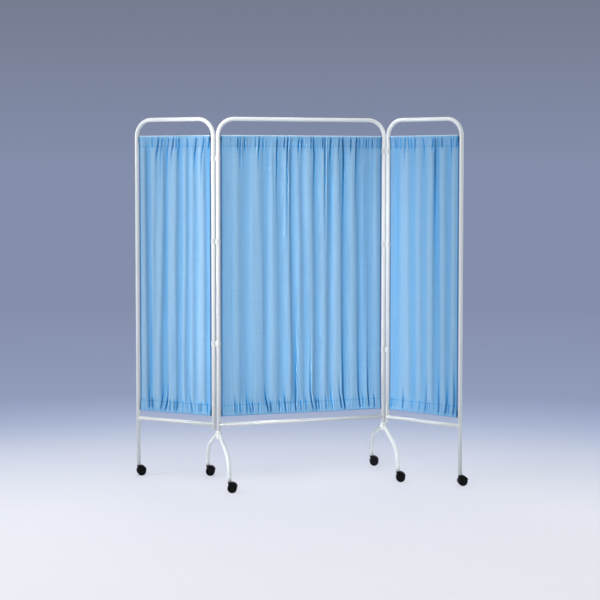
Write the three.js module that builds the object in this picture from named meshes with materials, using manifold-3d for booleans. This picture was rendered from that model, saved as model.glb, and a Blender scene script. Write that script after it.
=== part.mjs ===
import * as THREE from 'three';
import { mergeVertices } from 'three/addons/utils/BufferGeometryUtils.js';
import Module from 'manifold-3d';

// A folding privacy screen for a hospital ward, on casters, in millimetres with +Z up.
// A wide centre panel stands on two splayed feet, and a narrower wing hangs on each of its
// posts by three double clips. Every panel is a bent tube frame with a crossbar and a gathered
// curtain on two thin rods. The origin is on the floor, under the middle of the whole screen.

// Panels
const overallHeight = 1700;
const centreSpan = 812;
const wingSpan = 414;
const postPitch = 25;
const leftFold = THREE.MathUtils.degToRad(43.5);
const rightFold = THREE.MathUtils.degToRad(56.5);

// Tube
const tubeRadius = 9.5;
const tubeWall = 1.2;
const cornerRadius = 78;
const tubeSides = 16;
const cornerSteps = 5;

// Fits
const seatGap = 0.3;
const runGap = 0.3;
const overrun = 5;

// Crossbar and the wings' inner post ends
const crossbarHeight = 275;
const crossbarRadius = 9.5;
const postTail = 20;
const capFlange = 3;
const capCrown = 1.2;
const capPlug = 14;
const capChamfer = 1;

// Curtain rods and curtains
const rodRadius = 3;
const rodReach = 4;
const rodSides = 10;
const curtainDrop = 74.5;
const curtainRise = 39;
const curtainGap = 4;
const casingDepth = 50;
const rodDrop = 6;
const neckDrop = 85;
const edgeHalf = 2.2;
const casingHalf = 5.4;
const casingRipple = 1.1;
const stitchHalf = 1.8;
const stitchSway = 3.2;
const clothHalf = 1.8;
const foldSway = 6;
const columnsPerFold = 3;

// Crests and hollows of each curtain's folds: shares of its width from the near post, and of the sway
const centreFoldShares = [
  [0, 0], [0.093, 0.85], [0.16, -1], [0.222, 0.75], [0.277, -0.7], [0.32, 0.3], [0.364, -0.15],
  [0.401, 0.9], [0.445, -1], [0.539, 0.9], [0.59, -0.6], [0.621, 0.3], [0.678, -0.7], [0.723, 0.9],
  [0.768, -1], [0.832, 0.75], [0.864, -0.5], [0.889, 0], [0.928, -0.4], [0.967, 0.35], [1, 0],
];
const leftFoldShares = [
  [0, 0], [0.117, 1], [0.312, -1], [0.369, -0.3], [0.397, -0.65], [0.51, 0.85], [0.609, -0.85],
  [0.767, 0.6], [0.853, -0.85], [1, 0.3],
];
const rightFoldShares = [
  [0, 0], [0.108, -0.6], [0.258, 0.65], [0.37, -0.25], [0.436, 0.15], [0.51, -0.15], [0.612, 0.7],
  [0.684, -1], [0.8, 0.35], [0.857, -0.05], [0.928, 0.6], [1, 0],
];

// Double clips
const clipWall = 1.5;
const clipHeight = 24;
const clipWaist = 3.5;
const clipArcSteps = 9;
const leftClipShares = [0.873, 0.601, 0.266];
const rightClipShares = [0.897, 0.584, 0.228];

// Feet
const hubRadius = 12.7;
const hubDrop = 27;
const hubHeight = 38;
const hubFloor = 3;
const hubChamfer = 1.2;
const footReach = 200;
const legDrop = 11;
const kneeRise = 96;
const legBendRadius = 110;
const legBendSteps = 5;
const leftRearTurn = THREE.MathUtils.degToRad(1.2);
const rightRearTurn = THREE.MathUtils.degToRad(-3.6);

// Casters
const wheelRadius = 22;
const wheelWidth = 13.5;
const wheelSides = 16;
const wheelTyre = 5;
const wheelDish = 1.6;
const wheelChamfer = 1.2;
const wheelBoreDepth = 10.5;
const wheelSideGap = 0.5;
const casterTrail = 12.5;
const casterHeight = 50.5;
const footCasterHeading = THREE.MathUtils.degToRad(-17);
const leftCasterHeading = THREE.MathUtils.degToRad(-2);
const rightCasterHeading = THREE.MathUtils.degToRad(-8);
const axleRadius = 3;
const axleSides = 8;
const pinRadius = 3;
const pinSides = 10;
const pinBottom = 25;
const stemFlange = 1.5;
const insertLength = 24;
const insertChamfer = 1.5;
const hoodGap = 1.2;
const hoodWall = 2.2;
const hoodWeb = 9;
const hoodTail = THREE.MathUtils.degToRad(-8);
const hoodBrow = THREE.MathUtils.degToRad(128);
const hoodNose = 6;
const hoodFloor = 3;
const hoodAxleBoss = 8;
const hoodArcSegments = 4;
const bossRadius = 8;
const bossHeight = 5.3;
const bossGap = 0.5;

// Sizes that follow from the ones above
const tubeBore = tubeRadius - tubeWall;
const topHeight = overallHeight - tubeRadius;
const innerPostEnd = crossbarHeight - postTail;
const curtainTop = topHeight - curtainDrop;
const curtainBottom = crossbarHeight + curtainRise;
const hubTop = crossbarHeight - hubDrop;
const hubBottom = hubTop - hubHeight;
const legTop = hubTop - legDrop;
const postSeat = hubBottom + hubFloor + seatGap;
const outerPostEnd = casterHeight + seatGap;
const legKnee = outerPostEnd + kneeRise;
const kneeTurn = Math.atan2(footReach, legTop - legKnee);
// The knee's bend ends above the caster's insert, which needs a straight bore.
const kneeBendRadius = Math.min(legBendRadius, (kneeRise - insertLength) / Math.tan(kneeTurn / 2));
const topRodHeight = curtainTop - rodDrop;
const bottomRodHeight = curtainBottom + rodDrop;
const axleHeight = wheelRadius * Math.cos(Math.PI / wheelSides);
const hoodInner = wheelRadius + hoodGap;
const hoodOuter = hoodInner + hoodWall;
const hoodWidth = hoodWeb + 2 * (wheelSideGap + wheelWidth);
const axleLength = hoodWeb + 2 * (wheelSideGap + wheelBoreDepth - seatGap);

const paint = () => new THREE.MeshStandardMaterial({
  name: 'white_paint', color: 0xe9e8e4, roughness: 0.35, metalness: 0.1, flatShading: true });
const whitePlastic = () => new THREE.MeshStandardMaterial({
  name: 'white_plastic', color: 0xf1f0ec, roughness: 0.5, metalness: 0, flatShading: true });
const blueCloth = () => new THREE.MeshStandardMaterial({
  name: 'blue_cloth', color: 0x6fa9d6, roughness: 0.9, metalness: 0, flatShading: true });
const blackPlastic = () => new THREE.MeshStandardMaterial({
  name: 'black_plastic', color: 0x161617, roughness: 0.4, metalness: 0, flatShading: true });
const zincSteel = () => new THREE.MeshStandardMaterial({
  name: 'zinc_steel', color: 0xb9bcbe, roughness: 0.3, metalness: 0.9, flatShading: true });

const wasm = await Module();
wasm.setup();

// Triangles of a geometry as merged vertices, without the slivers at poles and seams.
function mergedTriangles(geometry) {
  const bare = geometry.clone();
  bare.deleteAttribute('normal');
  bare.deleteAttribute('uv');
  const merged = mergeVertices(bare);
  const corners = merged.index.array;
  const kept = [];
  for (let i = 0; i < corners.length; i += 3) {
    const [a, b, c] = [corners[i], corners[i + 1], corners[i + 2]];
    if (a !== b && b !== c && c !== a) kept.push(a, b, c);
  }
  return { vertices: merged.attributes.position.array, corners: kept };
}

function signedVolume(vertices, corners) {
  const [a, b, c] = [new THREE.Vector3(), new THREE.Vector3(), new THREE.Vector3()];
  let volume = 0;
  for (let i = 0; i < corners.length; i += 3) {
    a.fromArray(vertices, 3 * corners[i]);
    b.fromArray(vertices, 3 * corners[i + 1]);
    c.fromArray(vertices, 3 * corners[i + 2]);
    volume += a.dot(b.cross(c));
  }
  return volume;
}

// A closed geometry as a solid whose faces point out.
function solidOf(geometry) {
  const { vertices, corners } = mergedTriangles(geometry);
  if (signedVolume(vertices, corners) < 0) corners.reverse();
  const mesh = new wasm.Mesh({
    numProp: 3,
    vertProperties: Float32Array.from(vertices),
    triVerts: Uint32Array.from(corners),
  });
  return new wasm.Manifold(mesh);
}

function geometryOf(solid) {
  const mesh = solid.getMesh();
  const geometry = new THREE.BufferGeometry();
  geometry.setAttribute('position', new THREE.BufferAttribute(mesh.vertProperties, 3));
  geometry.setIndex(new THREE.BufferAttribute(mesh.triVerts, 1));
  return geometry;
}

// Corners of a regular outline, with a flat at the bottom.
function roundPoints(radius, sides, x = 0, y = 0) {
  const points = [];
  for (let i = 0; i < sides; i++) {
    const angle = (2 * Math.PI * (i + 0.5)) / sides - Math.PI / 2;
    points.push(new THREE.Vector2(x + radius * Math.cos(angle), y + radius * Math.sin(angle)));
  }
  return points;
}

// The corner radius of a faceted bore that clears a round bar of the given radius.
const boreCorner = (radius, sides) => radius / Math.cos(Math.PI / sides);

// A faceted bar between two heights on the Z axis, moved to x.
function uprightBar(radius, sides, from, to, x = 0) {
  const bar = new THREE.CylinderGeometry(radius, radius, to - from, sides);
  bar.rotateY(Math.PI / sides).rotateX(Math.PI / 2);
  return solidOf(bar.translate(x, 0, (from + to) / 2));
}

// A faceted bar along X at a height.
function levelBar(radius, sides, from, to, height) {
  const bar = new THREE.CylinderGeometry(radius, radius, to - from, sides);
  bar.rotateY(Math.PI / sides).rotateZ(Math.PI / 2);
  return solidOf(bar.translate((from + to) / 2, 0, height));
}

// A turned solid on the Z axis, from a profile of radius and height.
function turned(profile, sides) {
  const points = profile.map(([radius, height]) => new THREE.Vector2(radius, height));
  const lathe = new THREE.LatheGeometry(points, sides, Math.PI / sides);
  return solidOf(lathe.rotateX(Math.PI / 2));
}

// A tube's centre line, with rings only at its ends and round its bends.
class TubeLine extends THREE.Curve {
  constructor(stations) {
    super();
    this.stations = stations;
  }

  stationAt(share) {
    return this.stations[Math.round(share * (this.stations.length - 1))];
  }

  getPointAt(share, target = new THREE.Vector3()) {
    return target.copy(this.stationAt(share).point);
  }

  getTangentAt(share, target = new THREE.Vector3()) {
    return target.copy(this.stationAt(share).tangent);
  }
}

// The stations round one bend, from the straight before it to the straight after it.
function bendStations(before, corner, after, radius, steps) {
  const into = corner.clone().sub(before).normalize();
  const out = after.clone().sub(corner).normalize();
  const turn = into.angleTo(out);
  const inwards = out.clone().addScaledVector(into, -out.dot(into)).normalize();
  const start = corner.clone().addScaledVector(into, -radius * Math.tan(turn / 2));
  const stations = [];
  for (let i = 0; i <= steps; i++) {
    const angle = (turn * i) / steps;
    const point = start.clone().addScaledVector(into, radius * Math.sin(angle));
    point.addScaledVector(inwards, radius * (1 - Math.cos(angle)));
    const tangent = into.clone().multiplyScalar(Math.cos(angle));
    stations.push({ point, tangent: tangent.addScaledVector(inwards, Math.sin(angle)) });
  }
  return stations;
}

// A hollow tube through corner points, rounded at every inner one.
function bentTube(corners, radius, wall, bendRadius, bendSteps) {
  const last = corners.length - 1;
  const startWay = corners[1].clone().sub(corners[0]).normalize();
  const endWay = corners[last].clone().sub(corners[last - 1]).normalize();
  const stations = [{ point: corners[0], tangent: startWay }];
  for (let i = 1; i < last; i++) {
    stations.push(...bendStations(corners[i - 1], corners[i], corners[i + 1], bendRadius, bendSteps));
  }
  stations.push({ point: corners[last], tangent: endWay });
  const section = new THREE.Shape(roundPoints(radius, tubeSides));
  section.holes.push(new THREE.Path(roundPoints(radius - wall, tubeSides)));
  return solidOf(new THREE.ExtrudeGeometry(section, {
    steps: stations.length - 1, extrudePath: new TubeLine(stations), bevelEnabled: false }));
}

// A panel's bent tube frame, with the holes that its curtain rods spring into.
function frameTube(span, nearEnd, farEnd) {
  const corners = [
    new THREE.Vector3(0, 0, nearEnd),
    new THREE.Vector3(0, 0, topHeight),
    new THREE.Vector3(span, 0, topHeight),
    new THREE.Vector3(span, 0, farEnd),
  ];
  let frame = bentTube(corners, tubeRadius, tubeWall, cornerRadius, cornerSteps);
  const holeReach = tubeRadius + overrun;
  for (const height of [topRodHeight, bottomRodHeight]) {
    const holeCorner = boreCorner(rodRadius + seatGap, rodSides);
    frame = frame.subtract(levelBar(holeCorner, rodSides, 0, holeReach, height));
    frame = frame.subtract(levelBar(holeCorner, rodSides, span - holeReach, span, height));
  }
  return frame;
}

// A straight crossbar whose ends are coped to the posts that it is welded to.
function crossbarTube(span) {
  const ends = [new THREE.Vector3(0, 0, crossbarHeight), new THREE.Vector3(span, 0, crossbarHeight)];
  let bar = bentTube(ends, crossbarRadius, tubeWall, cornerRadius, cornerSteps);
  const low = crossbarHeight - crossbarRadius - overrun;
  const high = crossbarHeight + crossbarRadius + overrun;
  for (const x of [0, span]) {
    bar = bar.subtract(uprightBar(tubeRadius + seatGap, tubeSides, low, high, x));
  }
  return bar;
}

function curtainRod(span, height) {
  const inset = tubeBore - rodReach;
  return levelBar(rodRadius, rodSides, inset, span - inset, height);
}

// Rows of the curtain from its top edge down: height, half thickness, sway and ripple.
function curtainRows() {
  const casing = [
    { drop: 0, half: edgeHalf, sway: 0, ripple: 0 },
    { drop: rodDrop, half: casingHalf, sway: 0, ripple: casingRipple },
    { drop: casingDepth, half: stitchHalf, sway: stitchSway, ripple: 0 },
    { drop: neckDrop, half: clothHalf, sway: foldSway, ripple: 0 },
  ];
  const upper = casing.map((row) => ({ ...row, height: curtainTop - row.drop }));
  const lower = casing.map((row) => ({ ...row, height: curtainBottom + row.drop })).reverse();
  const middle = { half: clothHalf, sway: foldSway, ripple: 0, height: (curtainTop + curtainBottom) / 2 };
  return [...upper, middle, ...lower];
}

// Columns of a curtain: shares of its width and of its sway, eased from one fold to the next.
function foldColumns(foldShares) {
  const columns = [];
  for (let i = 0; i + 1 < foldShares.length; i++) {
    const [[fromShare, fromSway], [toShare, toSway]] = [foldShares[i], foldShares[i + 1]];
    for (let step = 0; step < columnsPerFold; step++) {
      const way = step / columnsPerFold;
      const ease = 0.5 - 0.5 * Math.cos(Math.PI * way);
      const sway = THREE.MathUtils.lerp(fromSway, toSway, ease);
      columns.push([THREE.MathUtils.lerp(fromShare, toShare, way), sway]);
    }
  }
  columns.push(foldShares.at(-1));
  return columns;
}

// A gathered curtain as one closed solid, with a channel in each casing for its rod.
function curtainSolid(span, foldShares, face) {
  const start = tubeRadius + curtainGap;
  const width = span - 2 * start;
  const rows = curtainRows();
  const columns = foldColumns(foldShares);
  const positions = [];
  for (const side of [-1, 1]) {
    for (const row of rows) {
      for (const [share, sway] of columns) {
        const half = row.half + row.ripple * Math.abs(sway);
        positions.push(start + width * share, row.sway * sway * face + side * half, row.height);
      }
    }
  }
  const corners = gridShell(rows.length, columns.length);
  const geometry = new THREE.BufferGeometry();
  geometry.setAttribute('position', new THREE.Float32BufferAttribute(positions, 3));
  geometry.setIndex(corners);
  let curtain = solidOf(geometry);
  for (const height of [topRodHeight, bottomRodHeight]) {
    const channel = levelBar(boreCorner(rodRadius + seatGap, rodSides), rodSides, 0, span, height);
    curtain = curtain.subtract(channel);
  }
  return curtain;
}

// Triangles of two equal grids, one behind the other, closed round all four edges.
function gridShell(rowCount, columnCount) {
  const corners = [];
  const at = (side, row, column) => (side * rowCount + row) * columnCount + column;
  const quad = (a, b, c, d) => corners.push(a, b, c, a, c, d);
  for (let row = 0; row < rowCount - 1; row++) {
    for (let column = 0; column < columnCount - 1; column++) {
      quad(at(0, row, column), at(0, row + 1, column), at(0, row + 1, column + 1), at(0, row, column + 1));
      quad(at(1, row, column), at(1, row, column + 1), at(1, row + 1, column + 1), at(1, row + 1, column));
    }
  }
  const lastRow = rowCount - 1;
  const lastColumn = columnCount - 1;
  for (let column = 0; column < lastColumn; column++) {
    quad(at(0, 0, column), at(0, 0, column + 1), at(1, 0, column + 1), at(1, 0, column));
    quad(at(0, lastRow, column + 1), at(0, lastRow, column), at(1, lastRow, column), at(1, lastRow, column + 1));
  }
  for (let row = 0; row < lastRow; row++) {
    quad(at(0, row + 1, 0), at(0, row, 0), at(1, row, 0), at(1, row + 1, 0));
    quad(at(0, row, lastColumn), at(0, row + 1, lastColumn), at(1, row + 1, lastColumn), at(1, row, lastColumn));
  }
  return corners;
}

// The plug that closes a wing's inner post, hanging a crowned flange below the tube.
function postCap() {
  const seat = innerPostEnd - seatGap;
  const plugRadius = tubeBore - seatGap;
  return turned([
    [0, seat - capFlange],
    [tubeRadius - capCrown, seat - capFlange],
    [tubeRadius, seat - capFlange + capCrown],
    [tubeRadius, seat],
    [plugRadius, seat],
    [plugRadius, seat + capPlug - capChamfer],
    [plugRadius - capChamfer, seat + capPlug],
    [0, seat + capPlug],
  ], tubeSides);
}

// A double clip: two rings on a common waist, each turning freely on its post.
function doubleClip() {
  const bore = boreCorner(tubeRadius + runGap, tubeSides);
  const outer = bore + clipWall;
  const opening = Math.asin(clipWaist / outer);
  const outline = [];
  for (const [x, middle] of [[0, Math.PI], [postPitch, 0]]) {
    for (let i = 0; i <= clipArcSteps; i++) {
      const angle = middle + (i / clipArcSteps - 0.5) * 2 * (Math.PI - opening);
      outline.push(new THREE.Vector2(x + outer * Math.cos(angle), outer * Math.sin(angle)));
    }
  }
  const shape = new THREE.Shape(outline);
  for (const x of [0, postPitch]) shape.holes.push(new THREE.Path(roundPoints(bore, tubeSides, x)));
  const geometry = new THREE.ExtrudeGeometry(shape, { depth: clipHeight, bevelEnabled: false });
  return solidOf(geometry.translate(0, 0, -clipHeight / 2));
}

// The cup that holds a centre post's foot.
function hubCup() {
  const bore = boreCorner(tubeRadius + seatGap, tubeSides);
  return turned([
    [0, hubBottom],
    [hubRadius - hubChamfer, hubBottom],
    [hubRadius, hubBottom + hubChamfer],
    [hubRadius, hubTop - hubChamfer],
    [hubRadius - hubChamfer, hubTop],
    [bore, hubTop],
    [bore, hubBottom + hubFloor],
    [0, hubBottom + hubFloor],
  ], tubeSides);
}

// A splayed leg, coped to the hub and bent upright over its caster.
function footLeg(side) {
  const corners = [
    new THREE.Vector3(0, 0, legTop),
    new THREE.Vector3(0, side * footReach, legKnee),
    new THREE.Vector3(0, side * footReach, outerPostEnd),
  ];
  const leg = bentTube(corners, tubeRadius, tubeWall, kneeBendRadius, legBendSteps);
  const cope = boreCorner(hubRadius + seatGap, tubeSides);
  return leg.subtract(uprightBar(cope, tubeSides, legKnee, legTop + 2 * tubeRadius, 0));
}

// A caster's pin, with the flange under the tube's end and the insert that grips its bore.
function casterStem() {
  const insert = tubeBore - seatGap;
  const flangeTop = casterHeight;
  const flangeBottom = flangeTop - stemFlange;
  return turned([
    [0, pinBottom],
    [pinRadius, pinBottom],
    [pinRadius, flangeBottom],
    [tubeRadius, flangeBottom],
    [tubeRadius, flangeTop],
    [insert, flangeTop],
    [insert, flangeTop + insertLength - insertChamfer],
    [insert - insertChamfer, flangeTop + insertLength],
    [0, flangeTop + insertLength],
  ], pinSides);
}

// A flat outline in X and Z, thickened evenly to both sides of Y = 0.
function slab(shape, thickness) {
  const options = { depth: thickness, bevelEnabled: false, curveSegments: hoodArcSegments };
  const geometry = new THREE.ExtrudeGeometry(shape, options);
  return solidOf(geometry.translate(0, 0, -thickness / 2).rotateX(Math.PI / 2));
}

// A caster's hood: a web between the wheels, a fender over them and a boss for the pin.
function casterHood() {
  const bossTop = casterHeight - stemFlange - bossGap;
  const bossBottom = bossTop - bossHeight;
  const web = new THREE.Shape();
  web.absarc(casterTrail, axleHeight, hoodOuter, hoodTail, hoodBrow);
  web.lineTo(-hoodNose, bossTop);
  web.lineTo(-hoodNose, pinBottom - hoodFloor);
  web.absarc(casterTrail, axleHeight, hoodAxleBoss, Math.PI, 2 * Math.PI);
  web.closePath();
  const fender = new THREE.Shape();
  fender.absarc(casterTrail, axleHeight, hoodOuter, hoodTail, hoodBrow);
  fender.absarc(casterTrail, axleHeight, hoodInner, hoodBrow, hoodTail, true);
  fender.closePath();
  const boss = uprightBar(bossRadius, pinSides, bossBottom, bossTop);
  const pinHole = boreCorner(pinRadius + runGap, pinSides);
  const axleHole = boreCorner(axleRadius + seatGap, axleSides);
  return slab(web, hoodWeb)
    .add(slab(fender, hoodWidth))
    .add(boss)
    .subtract(uprightBar(pinHole, pinSides, pinBottom - runGap, bossTop + overrun))
    .subtract(crossPin(axleHole, hoodWidth));
}

// A faceted bar across the caster, at its axle.
function crossPin(radius, length) {
  const bar = new THREE.CylinderGeometry(radius, radius, length, axleSides);
  bar.rotateY(Math.PI / axleSides);
  return solidOf(bar.translate(casterTrail, 0, axleHeight));
}

// A wheel with a dished outer face and a blind bore, resting on a flat of its tread.
function casterWheel(side) {
  const bore = boreCorner(axleRadius + runGap, wheelSides);
  const rim = wheelRadius - wheelTyre;
  const profile = [
    [0, wheelBoreDepth],
    [bore, wheelBoreDepth],
    [bore, 0],
    [wheelRadius, 0],
    [wheelRadius, wheelWidth - wheelChamfer],
    [wheelRadius - wheelChamfer, wheelWidth],
    [rim, wheelWidth],
    [rim - wheelDish, wheelWidth - wheelDish],
    [0, wheelWidth - wheelDish],
  ];
  const points = profile.map(([radius, offset]) => new THREE.Vector2(radius, offset));
  const lathe = new THREE.LatheGeometry(points, wheelSides, Math.PI / wheelSides);
  if (side < 0) lathe.rotateX(Math.PI);
  const inner = hoodWeb / 2 + wheelSideGap;
  return solidOf(lathe.translate(casterTrail, side * inner, axleHeight));
}

function addPiece(parent, name, solid, material, height = 0) {
  const mesh = new THREE.Mesh(geometryOf(solid), material);
  mesh.name = name;
  mesh.position.z = height;
  parent.add(mesh);
}

function addGroup(parent, name, x, turn) {
  const group = new THREE.Group();
  group.name = name;
  group.position.x = x;
  group.rotation.z = turn;
  parent.add(group);
  return group;
}

// A frame, its crossbar, two rods and the curtain on them.
function addPanel(parent, name, span, nearEnd, farEnd, foldShares, face) {
  addPiece(parent, `${name}_frame`, frameTube(span, nearEnd, farEnd), paint());
  addPiece(parent, `${name}_crossbar`, crossbarTube(span), paint());
  addPiece(parent, `${name}_top_rod`, curtainRod(span, topRodHeight), zincSteel());
  addPiece(parent, `${name}_bottom_rod`, curtainRod(span, bottomRodHeight), zincSteel());
  addPiece(parent, `${name}_curtain`, curtainSolid(span, foldShares, face), blueCloth());
}

// Five pieces of one caster, under the post or leg that stands at x and y of its parent.
function addCaster(parent, name, x, y, heading) {
  const group = addGroup(parent, name, x, heading);
  group.position.y = y;
  addPiece(group, `${name}_stem`, casterStem(), zincSteel());
  addPiece(group, `${name}_hood`, casterHood(), blackPlastic());
  addPiece(group, `${name}_axle`, crossPin(axleRadius, axleLength), zincSteel());
  addPiece(group, `${name}_wheel_a`, casterWheel(-1), blackPlastic());
  addPiece(group, `${name}_wheel_b`, casterWheel(1), blackPlastic());
}

// A cup under a centre post, with a leg and a caster to the front and to the rear.
function addFoot(parent, name, x, rearTurn) {
  const foot = addGroup(parent, `${name}_foot`, x, 0);
  addPiece(foot, `${name}_foot_hub`, hubCup(), paint());
  for (const [place, side, turn] of [['front', -1, 0], ['rear', 1, rearTurn]]) {
    const limb = addGroup(foot, `${name}_${place}_limb`, 0, turn);
    addPiece(limb, `${name}_${place}_leg`, footLeg(side), paint());
    addCaster(limb, `${name}_${place}_caster`, 0, side * footReach, footCasterHeading - turn);
  }
}

// Three clips on a centre post and the wing that swings on them.
function addWing(parent, name, x, outwards, fold, clipShares, foldShares, casterHeading) {
  const links = addGroup(parent, `${name}_clips`, x, outwards - fold);
  const clipNames = ['upper', 'middle', 'lower'];
  clipNames.forEach((place, i) => {
    const height = THREE.MathUtils.lerp(crossbarHeight, topHeight, clipShares[i]);
    addPiece(links, `${name}_${place}_clip`, doubleClip(), whitePlastic(), height);
  });
  const wing = addGroup(links, `${name}_wing`, postPitch, 0);
  const face = Math.sign(-Math.cos(outwards));
  addPanel(wing, name, wingSpan, innerPostEnd, outerPostEnd, foldShares, face);
  addPiece(wing, `${name}_post_cap`, postCap(), whitePlastic());
  addCaster(wing, `${name}_wing_caster`, wingSpan, 0, casterHeading - (outwards - fold));
}

const screen = new THREE.Group();
screen.name = 'ward_screen';
const centre = addGroup(screen, 'centre_panel', -centreSpan / 2, 0);
addPanel(centre, 'centre', centreSpan, postSeat, postSeat, centreFoldShares, -1);
addFoot(centre, 'left', 0, leftRearTurn);
addFoot(centre, 'right', centreSpan, rightRearTurn);
addWing(centre, 'left', 0, Math.PI, leftFold, leftClipShares, leftFoldShares, leftCasterHeading);
addWing(centre, 'right', centreSpan, 0, rightFold, rightClipShares, rightFoldShares, rightCasterHeading);

// The origin goes to the middle of the bounding box's floor.
screen.updateMatrixWorld(true);
const bounds = new THREE.Box3().setFromObject(screen, true);
screen.position.set(-(bounds.min.x + bounds.max.x) / 2, -(bounds.min.y + bounds.max.y) / 2, -bounds.min.z);

export default screen;
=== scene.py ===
# Looks of a folding ward screen on casters: white bent tube, gathered blue curtains and black casters.
# Everything is in metres with +Z up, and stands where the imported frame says.
import math
import random

import bmesh
import bpy
import numpy as np
from bmesh.types import BMEdge, BMFace, BMVert
from mathutils import Matrix, Vector


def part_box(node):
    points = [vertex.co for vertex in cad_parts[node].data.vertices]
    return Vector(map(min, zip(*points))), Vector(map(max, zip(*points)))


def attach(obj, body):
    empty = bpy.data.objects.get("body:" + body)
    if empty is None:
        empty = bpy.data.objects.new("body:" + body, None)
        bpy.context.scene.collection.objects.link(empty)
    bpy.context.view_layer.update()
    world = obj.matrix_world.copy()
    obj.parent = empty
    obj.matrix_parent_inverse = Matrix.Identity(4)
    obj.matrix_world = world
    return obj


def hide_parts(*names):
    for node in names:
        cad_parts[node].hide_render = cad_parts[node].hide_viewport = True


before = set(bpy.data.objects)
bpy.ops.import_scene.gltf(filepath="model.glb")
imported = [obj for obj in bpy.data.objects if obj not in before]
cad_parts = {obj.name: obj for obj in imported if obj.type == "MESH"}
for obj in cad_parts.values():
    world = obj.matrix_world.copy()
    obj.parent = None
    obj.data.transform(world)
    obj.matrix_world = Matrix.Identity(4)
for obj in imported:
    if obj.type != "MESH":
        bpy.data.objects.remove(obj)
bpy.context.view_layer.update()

UP = Vector((0, 0, 1))
ALONG = Vector((1, 0, 0))
ACROSS = Vector((0, 1, 0))
QUARTER = math.pi / 2
SIDEWAYS = Matrix.Rotation(QUARTER, 4, "X")
CORNER_POINTS = 6
TURN_STEPS = 48
MERGE_DISTANCE = 1e-6
SHARP_ANGLE = math.radians(40)
TURNED_SHARP_ANGLE = math.radians(35)
BEAD_SHARP_ANGLE = math.radians(80)

# Tube
TUBE_RADIUS = 0.0095
TUBE_WALL = 0.0012
TUBE_SIDES = 32
CORNER_RADIUS = 0.078
CORNER_STEPS = 24
WELD_RADIUS = 0.0015
WELD_RIPPLE = 0.00035
WELD_SIDES = 8
FOOT_WELD_SEED = 5
RING_START = math.radians(-178)

# Clips, plugs and cups
CLIP_GAP = 0.0003
CLIP_WALL = 0.0015
CLIP_WAIST = 0.0035
CLIP_STEPS = 40
CLIP_EDGE = 0.0005
CAP_FLANGE = 0.003
CAP_CROWN = 0.0012
SEAT_GAP = 0.0003
HUB_FLOOR = 0.003
HUB_LIP = 0.0016

# Legs
LEG_DROP = 0.011
KNEE_RISE = 0.096
LEG_BEND_RADIUS = 0.110
LEG_BEND_STEPS = 20

# Curtain rods: their reach is how far each end goes into the bore of its post
ROD_RADIUS = 0.003
ROD_DROP = 0.006
ROD_REACH = 0.004
ROD_STEPS = 24

# Curtains: casings, seams and hems
CURTAIN_GAP = 0.004
CASING_DEPTH = 0.050
CASING_STAND = 0.0050
CASING_ROWS = 10
LOOP_ROWS = 9
FIELD_ROWS = 44
ROW_CROWDING = 0.75
COLUMN_WIDTH = 0.0021
POCKET_REACH = 0.040
POCKET_CLEAR = 0.010
LAYER_GAP = 0.0007
SEAM_WIDTH = 0.0012
SEAM_GROOVE = 0.0009
SEAM_STEP = 0.0018
SIDE_HEM = 0.012
HEM_STEP = 0.0006
HEM_SLOPE = 0.002
EDGE_PULL = 0.001
EDGE_PULL_REACH = 0.12
BACK_FOLLOW_START = 0.012
BACK_FOLLOW_REACH = 0.03
CLOTH_THICKNESS = 0.0006
CLOTH_REACH = 0.0105
FULLNESS = 1.18
STITCH_LENGTH = 0.0026
STITCH_PITCH = 0.0036
STITCH_INSET = 0.001
THREAD_RADIUS = 0.00028
THREAD_SIDES = 5

# Curtains: broad folds and sharp creases
FOLD_SWAY = 0.0075
FOLD_SLOPE = 0.36
FOLD_REACH = 0.13
FOLD_SAMPLES = 600
FOLD_LEVELS = 24
STITCH_SWAY_SHARE = 0.53
NECK_DROP = 0.085
CREASE_WIDTH = 0.0034
CREASE_GAIN = 1.95
CREASE_LEAN_LIMIT = 0.8
CREASE_FADE = 1.4
CREASE_END = 3.2
CREASE_SPREAD = 4
RIDGE_HEIGHT = 0.5
RIDGE_OFFSET = 1.9
RIDGE_WIDTH = 1.1
HELD_SHARE = 0.15
HELD_REACH = 0.014

# Curtains: faint creases along the casings, and ripples in the field between them, each drawn from its range
FAINT_MARGIN = 0.003
FAINT_START = (0.003, 0.008)
FAINT_DEPTH = (0.0005, 0.0015)
FAINT_LEAN = (-0.004, 0.004)
FAINT_RUN = (0.004, 0.03)
FAINT_WIDTH = (0.0022, 0.0032)
FAINT_PITCH = (0.006, 0.013)
RIPPLE_PITCH = 0.024
RIPPLE_MARGIN = 0.01
RIPPLE_LEAN = (-0.018, 0.018)
RIPPLE_DEPTH = (0.0004, 0.0014)
RIPPLE_WIDTH = (0.005, 0.011)
RIPPLE_REACH = (0.15, 0.5)
RIPPLE_FADE = 0.05

# Curtains: colours, with the painted shade and painted highlight of the cloth, and how strong these are
CLOTH_LIGHT = (0.305, 0.507, 0.712)
# Colours of the painted shade (a deeper blue), of the painted highlight (a pale blue) and of the darkest
# painted shade (a dark blue)
CLOTH_PAINTED_SHADE = (0.030, 0.335, 0.725)
CLOTH_PAINTED_HIGHLIGHT = (0.72, 0.86, 0.98)
CLOTH_PAINTED_DARK_SHADE = (0.012, 0.060, 0.150)
CLOTH_SHEEN = (0.72, 0.86, 1.0)
THREAD_PERIOD = 0.0009
WAVE_UNIT = math.pi / 10
# How strongly creases, seams, fold valleys, side edges and the bottom edge get painted shade, and the top
# edge a painted highlight
HOLLOW_DEPTH = 0.0048
HOLLOW_LIMIT = 1.5
FOLD_SHADE = 0.45
FOLD_SHADE_SLOPE = 0.8
SEAM_SHADE = 0.55
EDGE_SHADE = 2.1
EDGE_SHADE_WIDTH = 0.0042
TOP_RIM_PAINTED_HIGHLIGHT = 1.5
RIM_SHADE = 0.7
RIM_DEPTH = 0.0040

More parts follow.
